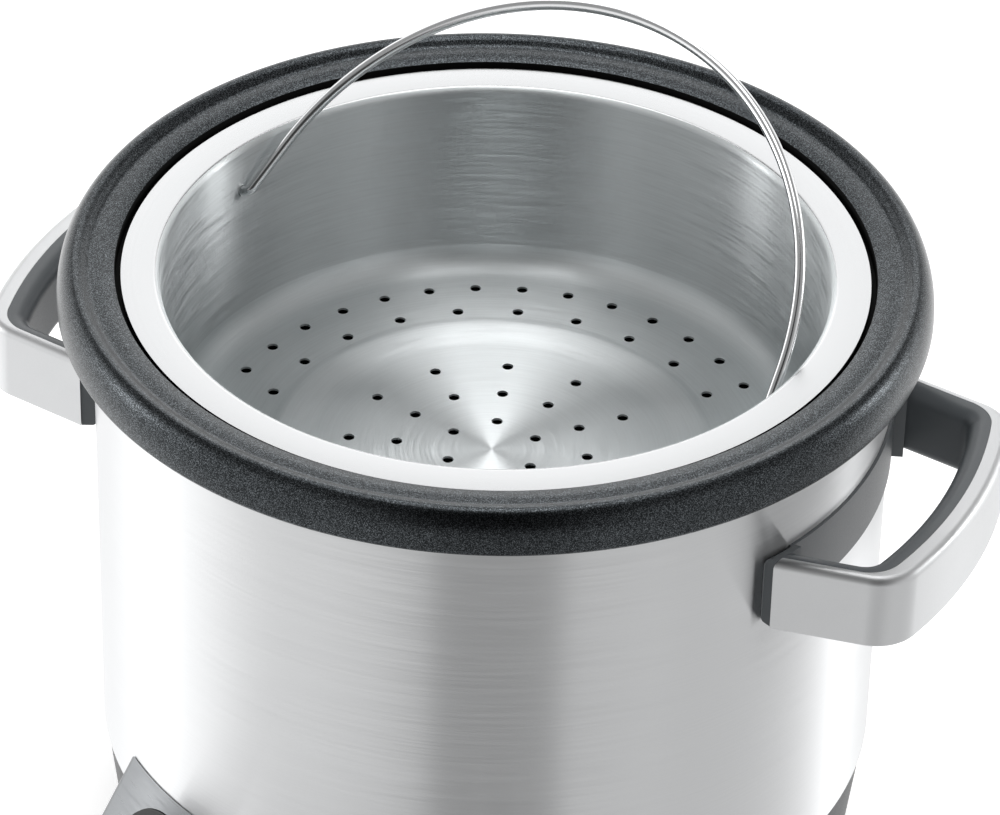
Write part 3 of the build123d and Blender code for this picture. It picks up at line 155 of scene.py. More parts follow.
print("steel grey is", [round(c, 3) for c in linear("#c8c9ca")])

# %% [markdown]
# ## Room
#
# The pot stands in a white room. Brushed metal shows what stands round it, drawn out into
# upright bands. So the room that the metal sees has tall soft panels: wide white ones to the
# left, behind and at the right, and a greyer one at the front. From about the horizon up, that
# front side is an open doorway, nearly dark, which the rim and the basket's wall show. A grey
# ceiling closes the room.

# %% Room
panels = [  # azimuth in degrees, brightness that metal sees there
    (-180, 1.89), (-169, 1.84), (-151, 1.51), (-136, 1.10), (-129, 1.03), (-97, 1.03),
    (-84, 0.90), (-80, 0.60), (-47, 0.61), (-43, 0.92), (-20, 0.86), (-11, 0.81),
    (26, 0.80), (35, 1.08), (53, 2.00), (58, 1.80), (66, 1.15), (80, 1.18),
    (98, 1.50), (135, 1.50), (148, 1.26), (157, 1.28), (170, 1.62), (180, 1.89),
]
doorway_shades = [(-110, 1.0), (-84, 0.10), (-48, 0.10), (-22, 1.0)]  # azimuth, share left
doorway_foot, doorway_full = -0.20, 0.05  # sines of the elevations between which it darkens
ceiling_foot, ceiling_full, ceiling_level = 20, 38, 0.36  # elevations in degrees, brightness
backdrop_level, fill_level = 1.0, 0.85  # what the camera sees, and what lights matt surfaces


def azimuth_bands(tree, turn, bands, brightest=1.0):
    """Colour ramp round the room from a list of azimuths in degrees and brightnesses."""
    ramp = add_node(tree, "ShaderNodeValToRGB", {"Fac": turn})
    stops = ramp.color_ramp.elements
    while len(stops) < len(bands):
        stops.new(0.5)
    for stop, (place, level) in zip(stops, bands):
        stop.position = (place + 180) / 360
        stop.color = grey(level / brightest)
    return ramp.outputs["Color"]


print("panels:", len(panels))

# %% [markdown]
# The world shader tells the rays apart. The camera sees plain white, matt surfaces get a soft
# even light, and only rays that leave a shiny surface see the panels, doorway and ceiling.

# %% World shader
world = bpy.data.worlds.new("white_room")
bpy.context.scene.world = world
world.use_nodes = True
world.cycles.sampling_method = "NONE"  # each ray then sees the part of the room meant for it
tree = world.node_tree
tree.nodes.clear()
direction = add_node(tree, "ShaderNodeTexCoord")
parts = add_node(tree, "ShaderNodeSeparateXYZ", {"Vector": direction.outputs["Generated"]})
azimuth = add_node(tree, "ShaderNodeMath", {
    0: parts.outputs["Y"], 1: parts.outputs["X"]}, operation="ARCTAN2")
turn = add_node(tree, "ShaderNodeMapRange", {
    "Value": azimuth.outputs[0], "From Min": -pi, "From Max": pi}).outputs[0]
brightest = max(level for _, level in panels)
ceiling_share = add_node(tree, "ShaderNodeMapRange", {
    "Value": parts.outputs["Z"],
    "From Min": sin(radians(ceiling_foot)), "From Max": sin(radians(ceiling_full))})
room = add_node(tree, "ShaderNodeMixRGB", {
    0: ceiling_share.outputs[0], 1: azimuth_bands(tree, turn, panels, brightest),
    2: grey(ceiling_level / brightest)})
above = add_node(tree, "ShaderNodeMapRange", {
    "Value": parts.outputs["Z"], "From Min": doorway_foot, "From Max": doorway_full})
room = add_node(tree, "ShaderNodeMixRGB", {
    0: above.outputs[0], 1: room.outputs[0],
    2: azimuth_bands(tree, turn, doorway_shades)}, blend_type="MULTIPLY")
studio = add_node(tree, "ShaderNodeBackground", {"Color": room.outputs[0], "Strength": brightest})
white = add_node(tree, "ShaderNodeBackground", {"Color": grey(1), "Strength": backdrop_level})
soft = add_node(tree, "ShaderNodeBackground", {"Color": grey(1), "Strength": fill_level})
rays = add_node(tree, "ShaderNodeLightPath")
seen = add_node(tree, "ShaderNodeMath", {
    0: rays.outputs["Is Camera Ray"], 1: rays.outputs["Is Transmission Ray"]}, operation="MAXIMUM")
plain = add_node(tree, "ShaderNodeMixShader", {
    0: seen.outputs[0], 1: soft.outputs[0], 2: white.outputs[0]})
mixed = add_node(tree, "ShaderNodeMixShader", {
    0: rays.outputs["Is Glossy Ray"], 1: plain.outputs[0], 2: studio.outputs[0]})
add_node(tree, "ShaderNodeOutputWorld", {"Surface": mixed.outputs[0]})
print("brightest panel:", brightest)

# %% [markdown]
# ## Floor
#
# The white floor keeps a soft shadow, and for the camera it is also a little luminous, so that
# it reads as white without more light on the pot.

# %% Floor
floor_half, floor_glow = 8.0, 0.42
floor_mesh = bpy.data.meshes.new("floor")
floor_mesh.from_pydata(
    [(x * floor_half, y * floor_half, 0) for x, y in ((-1, -1), (1, -1), (1, 1), (-1, 1))],
    [], [(0, 1, 2, 3)])
floor = bpy.data.objects.new("floor", floor_mesh)
bpy.context.scene.collection.objects.link(floor)
floor_paint, tree, shader = new_material("white_floor_paint")
shader.inputs["Base Color"].default_value = linear("#f4f4f4")
shader.inputs["Roughness"].default_value = 0.9
shader.inputs["Specular IOR Level"].default_value = 0.0
rays = add_node(tree, "ShaderNodeLightPath")
glow = add_node(tree, "ShaderNodeMath", {
    0: rays.outputs["Is Camera Ray"], 1: floor_glow}, operation="MULTIPLY")
shader.inputs["Emission Color"].default_value = grey(1)
tree.links.new(glow.outputs[0], shader.inputs["Emission Strength"])
floor_mesh.materials.append(floor_paint)
floor.visible_glossy = False
print("floor is", 2 * floor_half, "m wide")

# %% [markdown]
# ## Lamps
#
# Five soft lamps look at the pot's middle. Four of them can also be seen in the metal: one
# behind, one overhead and a narrow one at each side. The fifth only fills the shadows.

# %% Lamps
pot_middle = Vector((0, 0, 0.15))


def softbox(name, azimuth, elevation, distance, width, length, watts, seen_in_metal):
    """Area lamp that looks at the pot's middle from an azimuth and elevation in degrees."""
    data = bpy.data.lights.new(name, "AREA")
    data.shape = "RECTANGLE"
    data.size, data.size_y = width, length
    data.energy = watts
    lamp = bpy.data.objects.new(name, data)
    a, e = radians(azimuth), radians(elevation)
    place = Vector((cos(a) * cos(e), sin(a) * cos(e), sin(e))) * distance + pot_middle
    lamp.location = place
    lamp.rotation_euler = (place - pot_middle).to_track_quat("Z", "Y").to_euler()
    lamp.visible_glossy = seen_in_metal
    bpy.context.scene.collection.objects.link(lamp)


lamps = [  # name, azimuth, elevation, distance, width, length in metres, watts, seen in metal
    ("back_softbox", 115, 33, 2.2, 1.0, 0.9, 3.4, True),
    ("overhead_softbox", 115, 74, 2.2, 1.0, 1.8, 14.5, True),
    ("left_strip_light", -162, 12, 2.2, 0.40, 0.7, 4.5, True),
    ("right_strip_light", 40, 14, 2.2, 0.40, 0.7, 5.5, True),
    ("fill_softbox", -20, 45, 2.4, 1.4, 1.4, 8, False),
]
for lamp in lamps:
    softbox(*lamp)
bpy.context.scene.view_settings.view_transform = "Standard"
print("lamps:", len(lamps))

# %% [markdown]
# ## Sections
#
# Most of the pot is turned: a section drawn once and spun round the pot's axis. A section is a
# list of corners with a rounding radius each, and the helper replaces each corner by a fine arc.
# Everything is in millimetres until the mesh is made.

# %% Sections
def round_path(corners, arc_step=7.5, closed=True):
    """Points of a path whose corners (x, y, radius) are rounded by arcs."""
    points = []
    count = len(corners)
    for i, (x, y, radius) in enumerate(corners):
        here = np.array((x, y), float)
        if radius == 0 or (not closed and i in (0, count - 1)):
            points.append(tuple(here))
            continue
        before = np.array(corners[i - 1][:2], float) - here
        after = np.array(corners[(i + 1) % count][:2], float) - here
        before /= np.linalg.norm(before)
        after /= np.linalg.norm(after)
        half = np.arccos(np.clip(before @ after, -1, 1)) / 2
        bisector = (before + after) / np.linalg.norm(before + after)
        centre = here + bisector * radius / sin(half)
        start = here + before * radius / tan(half) - centre
        end = here + after * radius / tan(half) - centre
        swing = atan2(start[0] * end[1] - start[1] * end[0], start @ end)
        steps = max(2, ceil(abs(degrees(swing)) / arc_step))
        for k in range(steps + 1):
            a = swing * k / steps
            points.append((
                centre[0] + start[0] * cos(a) - start[1] * sin(a),
                centre[1] + start[0] * sin(a) + start[1] * cos(a),
            ))
    return points


def arc_points(centre, radius, start, end, steps):
    """Points on a circle between two angles in degrees."""
    return [
        (centre[0] + radius * cos(radians(a)), centre[1] + radius * sin(radians(a)))
        for a in np.linspace(start, end, steps + 1)
    ]


sample_corner = round_path([(1, 0, 0), (0, 0, 0.5), (0, 1, 0)], closed=False)
print("a rounded right angle has", len(sample_corner), "points")

# %% [markdown]
# ## Turned pieces
#
# A section becomes a mesh by turning its corners round the axis in even steps. The mesh is then
# merged and shaded smooth, and only its sharper edges stay crisp.

# %% Turned pieces
merge_distance = 0.0005 * MM


def finish_mesh(name, mesh, sharp_angle=28):
    """Link a mesh as a piece, shade it smooth and keep edges sharper than an angle crisp."""
    bm = bmesh.new()
    bm.from_mesh(mesh)
    bmesh.ops.remove_doubles(bm, verts=bm.verts, dist=merge_distance)
    bmesh.ops.recalc_face_normals(bm, faces=bm.faces)
    for face in bm.faces:
        face.smooth = True
    for edge in bm.edges:
        edge.smooth = len(edge.link_faces) == 2 and degrees(edge.calc_face_angle(0)) < sharp_angle
    bm.to_mesh(mesh)
    bm.free()
    piece = bpy.data.objects.new(name, mesh)
    bpy.context.scene.collection.objects.link(piece)
    return piece


def turned(name, section, segments):
    """Closed section of (radius, height) in millimetres, spun round the pot's axis."""
    angles = np.arange(segments) * 2 * pi / segments
    section = np.array(section)
    rows = np.stack([
        np.outer(section[:, 0], np.cos(angles)),
        np.outer(section[:, 0], np.sin(angles)),
        np.repeat(section[:, 1:], segments, axis=1),
    ], axis=2) * MM
    count = len(section)
    faces = []
    for i in range(count):
        j = (i + 1) % count
        if section[i][0] < 1e-6 and section[j][0] < 1e-6:
            continue
        for k in range(segments):
            m = (k + 1) % segments
            faces.append((
                i * segments + k, i * segments + m, j * segments + m, j * segments + k))
    mesh = bpy.data.meshes.new(name)
    mesh.from_pydata(rows.reshape(-1, 3).tolist(), [], faces)
    return finish_mesh(name, mesh)


print("corners closer than", merge_distance, "m are merged")

# %% [markdown]
# ## Modifiers, copies and rods
#
# A modifier's result is taken over as a plain mesh, so a finished piece carries none. Nodes of
# the CAD model that only need softer shading are copied, and the copy stands for the node. The
# last helper gives a finished piece its material and its body, and hides the node it stands for.

# %% Modifiers, copies and rods
def evaluated_mesh(piece):
    """Mesh that a piece has after its modifiers."""
    evaluated = piece.evaluated_get(bpy.context.evaluated_depsgraph_get())
    return bpy.data.meshes.new_from_object(evaluated)


def applied(piece):
    """Replace a piece's mesh by the result of its modifiers and remove them."""
    mesh = evaluated_mesh(piece)
    piece.modifiers.clear()
    piece.data = mesh
    return piece


def weighted(piece):
    """Let the large faces lead the shading next to small roundings."""
    modifier = piece.modifiers.new("weighted_normals", "WEIGHTED_NORMAL")
    modifier.keep_sharp = True
    modifier.weight = 100
    return applied(piece)


def smooth_copy(name, node):
    """Merged copy of a CAD node with smooth shading, which then stands for that node."""
    mesh = frame["nodes"][node].data.copy()
    mesh.materials.clear()
    piece = weighted(finish_mesh(name, mesh))
    body = frame["nodes"][node]["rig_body"]
    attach(piece, body)
    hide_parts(node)
    return piece


def add_rod(bm, middle, axis, start_radius, end_radius, length):
    """Add a capped round rod to a bmesh; its middle and its sizes are in millimetres."""
    rod = bmesh.ops.create_cone(
        bm, cap_ends=True, segments=32,
        radius1=start_radius * MM, radius2=end_radius * MM, depth=length * MM)
    turn = axis.to_track_quat("Z", "Y").to_matrix().to_4x4()
    place = Matrix.Translation(middle * MM) @ turn
    bmesh.ops.transform(bm, matrix=place, verts=rod["verts"])


def dress(piece, material, body, node):
    """Give a finished piece its material and its body, and hide the node it stands for."""
    piece.data.materials.clear()
    piece.data.materials.append(material)
    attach(piece, body)
    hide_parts(node)
    print(piece.name, len(piece.data.vertices), "vertices")


print("CAD nodes that could be copied:", len(frame["nodes"]))

# %% [markdown]
# ## Brushed and spun steel
#
# Stainless steel sheet, AISI 304, is a pale, slightly warm grey metal. Here its grain runs round
# the pot: the body is belt-brushed, the basket is spun and brushed in a lathe. Fine grooves blur
# a reflection across themselves and keep it sharp along themselves, so each lamp is drawn out
# into an upright band on the wall and into a fan on the basket's floor. The shader's anisotropy
# does this once its tangent runs across the grooves. The grooves themselves are a noise that
# changes fast with height and radius, and hardly at all round the pot.

# %% Steel shader
def grain_coordinates(tree, grain_mm, run_mm):
    """Vector that changes fast across the grain of a turned surface and slowly along it."""
    place = add_node(tree, "ShaderNodeTexCoord").outputs["Object"]
    parts = add_node(tree, "ShaderNodeSeparateXYZ", {"Vector": place})
    flat = add_node(tree, "ShaderNodeCombineXYZ", {
        "X": parts.outputs["X"], "Y": parts.outputs["Y"]})
    radius = add_node(tree, "ShaderNodeVectorMath", {0: flat.outputs[0]}, operation="LENGTH")
    across = add_node(tree, "ShaderNodeMath", {
        0: radius.outputs["Value"], 1: parts.outputs["Z"]}, operation="ADD")
    fast = add_node(tree, "ShaderNodeMath", {
        0: across.outputs[0], 1: 1 / (grain_mm * MM)}, operation="MULTIPLY")
    slow = add_node(tree, "ShaderNodeVectorMath", {
        0: flat.outputs[0], "Scale": 1 / (run_mm * MM)}, operation="SCALE")
    slow_parts = add_node(tree, "ShaderNodeSeparateXYZ", {"Vector": slow.outputs[0]})
    vector = add_node(tree, "ShaderNodeCombineXYZ", {
        "X": slow_parts.outputs["X"], "Y": slow_parts.outputs["Y"], "Z": fast.outputs[0]})
    return place, vector.outputs[0]


def turned_steel(name, colour, roughness, anisotropy, grain_mm, run_mm, contrast, bump):
    """Steel whose grain runs round the pot's axis."""
    material, tree, shader = new_material(name)
    place, vector = grain_coordinates(tree, grain_mm, run_mm)
    grooves = add_node(tree, "ShaderNodeTexNoise", {
        "Vector": vector, "Scale": 1.0, "Detail": 3.0, "Roughness": 0.6})
    rough = noise_range(tree, grooves, roughness * (1 - contrast), roughness * (1 + contrast))
    dark = tuple(c * (1 - contrast / 2) for c in linear(colour)[:3]) + (1,)
    tone = noise_range(tree, grooves, 0, 1)
    mix = add_node(tree, "ShaderNodeMixRGB", {0: tone, 1: dark, 2: linear(colour)})
    shader.inputs["Metallic"].default_value = 1.0
    shader.inputs["Anisotropic"].default_value = anisotropy
    tree.links.new(mix.outputs[0], shader.inputs["Base Color"])
    tree.links.new(rough, shader.inputs["Roughness"])
    relief = add_node(tree, "ShaderNodeBump", {
        "Height": grooves.outputs["Fac"], "Strength": bump, "Distance": 0.05 * MM})
    tree.links.new(relief.outputs[0], shader.inputs["Normal"])
    normal = add_node(tree, "ShaderNodeNewGeometry").outputs["Normal"]
    round_axis = add_node(tree, "ShaderNodeVectorMath", {
        0: (0, 0, 1), 1: place}, operation="CROSS_PRODUCT")
    across = add_node(tree, "ShaderNodeVectorMath", {
        0: normal, 1: round_axis.outputs[0]}, operation="CROSS_PRODUCT")
    unit = add_node(tree, "ShaderNodeVectorMath", {0: across.outputs[0]}, operation="NORMALIZE")
    tree.links.new(unit.outputs[0], shader.inputs["Tangent"])
    return material


print("steel shader made")

# %% [markdown]
# Five steels are made with it. Each has its colour, roughness and anisotropy, the width and the
# run of a groove in millimetres, how much the grooves differ, and how deep they look.

# %% Steels
body_steel = turned_steel(  # belt-brushed sheet of the body
    "brushed_stainless_steel", "#d8d9da", 0.33, 1.0, 0.8, 40, 0.10, 0.02)
basket_steel = turned_steel(  # spun sheet, brushed finely in the lathe
    "spun_stainless_steel", "#ebeff0", 0.35, 1.0, 0.8, 25, 0.16, 0.02)
wall_steel = turned_steel(  # the same sheet, brushed more coarsely on the wall
    "brushed_stainless_wall", "#e4e8e9", 0.42, 1.0, 0.9, 24, 0.26, 0.02)
polished_steel = turned_steel(  # the flange, turned and polished
    "polished_stainless_steel", "#bcbdbe", 0.20, 0.5, 0.5, 400, 0.06, 0.02)
panel_steel = turned_steel(  # tinted brushed sheet of the control panel
    "dark_brushed_panel_steel", "#838587", 0.36, 0.8, 0.6, 18, 0.30, 0.03)
steels = (body_steel, basket_steel, wall_steel, polished_steel, panel_steel)
print("steels:", [steel.name for steel in steels])

# %% [markdown]
# ## Body
#
# One drawn sheet, 281 mm across, with a small rolled edge where it meets the base. Its mesh is
# turned from the sheet's section.

# %% Body
body_radius, shell_sheet, rolled_edge = 140.5, 0.8, 2.4
shell_foot, shell_top = 52.0, 235.7
shell = turned("body_shell", round_path([
    (body_radius - shell_sheet, shell_foot + shell_sheet, 0),
    (body_radius - rolled_edge, shell_foot + shell_sheet, 0),
    (body_radius - rolled_edge, shell_foot, 0),
    (body_radius, shell_foot, shell_sheet),
    (body_radius, shell_top, 0),
    (body_radius - shell_sheet, shell_top, 0),
]), segments=288)
dress(shell, body_steel, "housing", "outer_shell")

# %% [markdown]
# ## Bowl and its broad rim
#
# The lift-out bowl is cast aluminium with a ceramic non-stick coat, dark grey with a fine
# metallic fleck. Its rim rolls out over the body: an inner lip, a gently swelled band, a crease,
# and a full bead that turns down into a short skirt. The bead's flank is a quarter of an ellipse.

# %% Bowl
mouth_radius, lip_height = 132.5, 242.2
rim_radius, crest_radius, crest_height = 152.8, 146.6, 245.5
skirt_top, skirt_foot = 232.2, 229.8
band_and_crease = round_path([
    (mouth_radius + 0.3, lip_height, 0),
    (137.0, 243.0, 12.0),  # swelled band
    (141.8, 242.9, 3.2),  # crease
    (143.9, 244.6, 3.0),
    (145.2, 245.4, 0),
], closed=False)
bead = [
    (crest_radius + (rim_radius - crest_radius) * sin(t),
     skirt_top + (crest_height - skirt_top) * cos(t))
    for t in np.linspace(0, pi / 2, 25)
]
skirt_and_bowl = round_path([
    (rim_radius, skirt_foot + 1.8, 0),
    (rim_radius, skirt_foot, 1.6),
    (149.8, skirt_foot, 0.4),
    (149.8, 239.0, 0),  # underside, which lies on the collar
    (136.8, 239.0, 0),
    (136.8, 235.8, 0),  # underside of the ledge
    (126.7, 235.8, 0),
    (122.2, 115.0, 22.5),  # outside of the bowl
    (0, 115.0, 0),
    (0, 118.0, 0),
    (119.7, 118.0, 20.0),  # inside of the bowl
    (124.2, 238.8, 1.2),
    (130.3, 238.8, 0),  # ledge that carries the basket
    (130.3, 236.9, 0),
    (mouth_radius, 236.9, 0),
    (mouth_radius, lip_height - 0.3, 0),
    (mouth_radius + 0.1, lip_height - 0.08, 0),
], closed=False)
bowl = turned("cooking_bowl_coated", band_and_crease + bead + skirt_and_bowl, segments=288)
print("bowl", len(bowl.data.polygons), "faces")

# %% [markdown]
# The coat is sprayed and baked. Small flakes in it catch the light one by one, so each cell of a
# fine Voronoi pattern gets its own brightness and its own slight tilt.

# %% Non-stick coat
def fleck_coat(name, colour, fleck_colour, roughness, fleck_mm):
    """Ceramic non-stick coat: a dark ground with small bright metal flakes under a clear skin."""
    material, tree, shader = new_material(name)
    place = add_node(tree, "ShaderNodeTexCoord").outputs["Object"]
    cells = add_node(tree, "ShaderNodeTexVoronoi", {
        "Vector": place, "Scale": 1 / (fleck_mm * MM)})
    pick = add_node(tree, "ShaderNodeSeparateXYZ", {"Vector": cells.outputs["Color"]})
    flakes = add_node(tree, "ShaderNodeMapRange", {
        "Value": pick.outputs["X"], "From Min": 0.60, "From Max": 1.0})
    mix = add_node(tree, "ShaderNodeMixRGB", {
        0: flakes.outputs[0], 1: linear(colour), 2: linear(fleck_colour)})
    tree.links.new(mix.outputs[0], shader.inputs["Base Color"])
    shader.inputs["Metallic"].default_value = 1.0
    shader.inputs["Roughness"].default_value = roughness
    shader.inputs["Coat Weight"].default_value = 0.15
    shader.inputs["Coat Roughness"].default_value = 0.25
    relief = add_node(tree, "ShaderNodeBump", {
        "Height": pick.outputs["Y"], "Strength": 0.2, "Distance": 0.04 * MM})
    tree.links.new(relief.outputs[0], shader.inputs["Normal"])
    return material


bowl_coat = fleck_coat("ceramic_non_stick_coat", "#1f2224", "#6e7377", 0.28, 0.20)
dress(bowl, bowl_coat, "bowl", "cooking_bowl")

# %% [markdown]
# Between the lip and the basket's flange is a narrow gap. Its faces get painted shade: a matt
# black that stands in for the shadow down there, where no fleck can catch the light.

# %% Painted shade in the gap round the flange
gap_shade_inner, gap_shade_outer, gap_shade_bottom = 130.2, mouth_radius + 0.05, 236.8
# painted shade: a matt black for the shadow that falls in the gap
gap_shade_black, tree, shader = new_material("painted_gap_shade")
shader.inputs["Base Color"].default_value = linear("#050505")
shader.inputs["Roughness"].default_value = 0.7
shader.inputs["Specular IOR Level"].default_value = 0.1
bowl.data.materials.append(gap_shade_black)
# the faces in the gap get the painted shade
for face in bowl.data.polygons:
    radius, height = hypot(*face.center.xy) / MM, face.center.z / MM
    if gap_shade_inner < radius < gap_shade_outer and height > gap_shade_bottom:
        face.material_index = 1
print("black faces:", sum(face.material_index for face in bowl.data.polygons))

# %% [markdown]
# ## Steam basket
#
# One spun sheet, 0.9 mm thick: a flat polished flange, a straight wall, a rounded foot and a
# floor with a shallow step that starts in a soft ridge. Some plain rings in the floor's section
# keep the faces small where the holes are punched later.

# %% Basket sheet
bore_radius, flange_radius, basket_sheet = 116.9, 130.4, 0.9
flange_top, flange_round = 240.5, 2.4
floor_height, floor_step = 162.4, 1.3
outer_floor = floor_height + floor_step
foot_round = 11.5
step_rise = [  # radius, height above the middle of the floor
    (81.4, 1.30), (80.4, 1.37), (79.4, 1.62), (78.2, 2.00), (77.2, 2.10), (76.3, 2.04),
    (75.0, 1.86), (73.0, 1.48), (71.0, 1.08), (69.0, 0.68), (67.0, 0.30), (65.5, 0.08),
    (64.0, 0.0),
]
plain_rings = (56.0, 45.0, 40.0, 28.0, 22.5, 11.0)
step_profile = [(radius, floor_height + rise, 0) for radius, rise in step_rise]
step_profile += [(radius, floor_height, 0) for radius in plain_rings]
inside = round_path([
    (flange_radius, flange_top, 0),
    (bore_radius, flange_top, flange_round),
    (bore_radius, outer_floor, foot_round),
    *step_profile,
    (0, floor_height, 0),
], closed=False)
outside = round_path([
    (flange_radius, flange_top - basket_sheet, 0),
    (bore_radius + basket_sheet, flange_top - basket_sheet, flange_round - basket_sheet),
    (bore_radius + basket_sheet, outer_floor - basket_sheet, foot_round + basket_sheet),
    *[(x, y - basket_sheet, 0) for x, y, _ in step_profile],
    (0, floor_height - basket_sheet, 0),
], closed=False)
basket = turned("steam_basket_sheet", inside + outside[::-1], segments=256)

# %% [markdown]
# ## Helpers for Geometry Nodes
#
# The pot has two Geometry Nodes trees, one for what repeats and one for what follows a path.
# Both take their sizes and material as named inputs, and end in the same three nodes.

# %% Geometry Nodes helpers
def geometry_tree(name, inputs):
    """Geometry Nodes tree with named inputs and their kinds; returns it and its input sockets."""
    tree = bpy.data.node_groups.new(name, "GeometryNodeTree")
    for label, kind in {"Geometry": "Geometry", **inputs, "Material": "Material"}.items():
        tree.interface.new_socket(label, in_out="INPUT", socket_type="NodeSocket" + kind)
    tree.interface.new_socket("Geometry", in_out="OUTPUT", socket_type="NodeSocketGeometry")
    return tree, add_node(tree, "NodeGroupInput").outputs


def end_tree(tree, geometry, material):
    """Realize the instances, set the material and put the result out."""
    real = add_node(tree, "GeometryNodeRealizeInstances", {"Geometry": geometry})
    painted = add_node(tree, "GeometryNodeSetMaterial", {
        "Geometry": real.outputs[0], "Material": material})
    add_node(tree, "NodeGroupOutput", {"Geometry": painted.outputs[0]})


def set_inputs(modifier, values):
    """Set a Geometry Nodes modifier's inputs by name, through each socket's identifier."""
    for item in modifier.node_group.interface.items_tree:
        if item.item_type == "SOCKET" and item.in_out == "INPUT" and item.name in values:
            modifier[item.identifier] = values[item.name]


print("Geometry Nodes helpers made")

# %% [markdown]
# ## Steam holes
#
# The steam holes stand in five rings. Each ring is punched by the same tree: points on a circle,
# a small cylinder on each, and a boolean that takes them out of the sheet.

# %% Tree that punches a ring of holes
punch_length = 6 * MM
punch_turn = 0.037  # radians; keeps the cylinders' corners off the sheet's own edges


def punch_tree():
    """Geometry Nodes tree that takes a ring of round holes out of a mesh."""
    tree, given = geometry_tree("punch_ring_of_holes", {
        "Ring radius": "Float", "Start angle": "Float", "Hole radius": "Float",
        "Height": "Float", "Holes": "Int"})
    ring = add_node(tree, "GeometryNodeMeshCircle", {
        "Vertices": given["Holes"], "Radius": given["Ring radius"]})
    turn = add_node(tree, "ShaderNodeCombineXYZ", {"Z": given["Start angle"]})
    lift = add_node(tree, "ShaderNodeCombineXYZ", {"Z": given["Height"]})
    placed = add_node(tree, "GeometryNodeTransform", {
        "Geometry": ring.outputs["Mesh"],
        "Translation": lift.outputs[0], "Rotation": turn.outputs[0]})
    punch = add_node(tree, "GeometryNodeMeshCylinder", {
        "Vertices": 24, "Radius": given["Hole radius"], "Depth": punch_length})
    punches = add_node(tree, "GeometryNodeInstanceOnPoints", {
        "Points": placed.outputs[0], "Instance": punch.outputs["Mesh"],
        "Rotation": (0, 0, punch_turn)})
    cut = add_node(tree, "GeometryNodeMeshBoolean", {"Mesh 1": given["Geometry"]},
                   operation="DIFFERENCE", solver="MANIFOLD")
    tree.links.new(punches.outputs[0], cut.inputs["Mesh 2"])
    end_tree(tree, cut.outputs["Mesh"], given["Material"])
    return tree


punching = punch_tree()
print("tree has", len(punching.nodes), "nodes")

# %% [markdown]
# The tree is used once for each ring. Each hole turns the sheet into a surface with one more
# loop through it, so the counts of corners, edges and faces tell how many holes were punched.

# %% Steam holes
hole_radius, ring_start = 2.0, 18.2
steam_rings = [  # radius in mm, holes, turn in degrees
    (99.7, 36, 0), (84.8, 24, 0), (51.4, 12, 0), (34.2, 12, 0), (17.0, 6, 30),
]
for ring_radius, holes, turn in steam_rings:
    modifier = basket.modifiers.new(f"ring_{holes}", "NODES")
    modifier.node_group = punching
    set_inputs(modifier, {
        "Ring radius": ring_radius * MM, "Start angle": radians(ring_start + turn),
        "Hole radius": hole_radius * MM, "Height": outer_floor * MM, "Holes": holes,
        "Material": basket_steel})
whole = applied(basket)
basket = finish_mesh("steam_basket_punched", whole.data)
bpy.data.objects.remove(whole)
sheet = basket.data
punched = 1 - (len(sheet.vertices) - len(sheet.edges) + len(sheet.polygons)) // 2
wanted = sum(count for _, count, _ in steam_rings)
print("basket", len(sheet.polygons), "faces, holes", punched, "of", wanted)

# %% [markdown]
# The bail's ends turn out through two holes in the wall. A boolean modifier takes them out, with
# one long cylinder that lies along the pivots' axis.

# %% Pivot holes
pivot_azimuth, pivot_height = radians(-13.94), 222.8
pivot_axis = Vector((cos(pivot_azimuth), sin(pivot_azimuth), 0))
pivot_middle = Vector((0, 0, pivot_height))
drill_radius, drill_length = 2.05, 250
bm = bmesh.new()
add_rod(bm, pivot_middle, pivot_axis, drill_radius, drill_radius, drill_length)
drill_mesh = bpy.data.meshes.new("pivot_drill")
bm.to_mesh(drill_mesh)
bm.free()
drill = bpy.data.objects.new("pivot_drill", drill_mesh)
bpy.context.scene.collection.objects.link(drill)
cut = basket.modifiers.new("pivot_holes", "BOOLEAN")
cut.object = drill
cut.operation = "DIFFERENCE"
basket = applied(basket)
bpy.data.objects.remove(drill)
dress(basket, basket_steel, "basket", "steam_basket")

# %% [markdown]
# The flange is polished and the wall is brushed a little coarser than the floor, so faces of
# these two zones get their own steel.

# %% Basket zones
polished_from = (bore_radius + 1.5, 238.8)  # radius and height in mm
wall_from = (bore_radius - 0.5, outer_floor + 5)
basket.data.materials.append(polished_steel)
basket.data.materials.append(wall_steel)
for face in basket.data.polygons:
    radius, height = hypot(*face.center.xy) / MM, face.center.z / MM
    for index, (inner, bottom) in ((1, polished_from), (2, wall_from)):
        if radius > inner and height > bottom:
            face.material_index = index
            break
print("basket steels:", [material.name for material in basket.data.materials])

# %% [markdown]
# ## Wire bail
#
# Bright drawn stainless wire, 3.8 mm thick, bent to an arch whose legs spread a little towards
# the pivots. Its middle line is drawn first, in the plane in which the bail leans at rest.

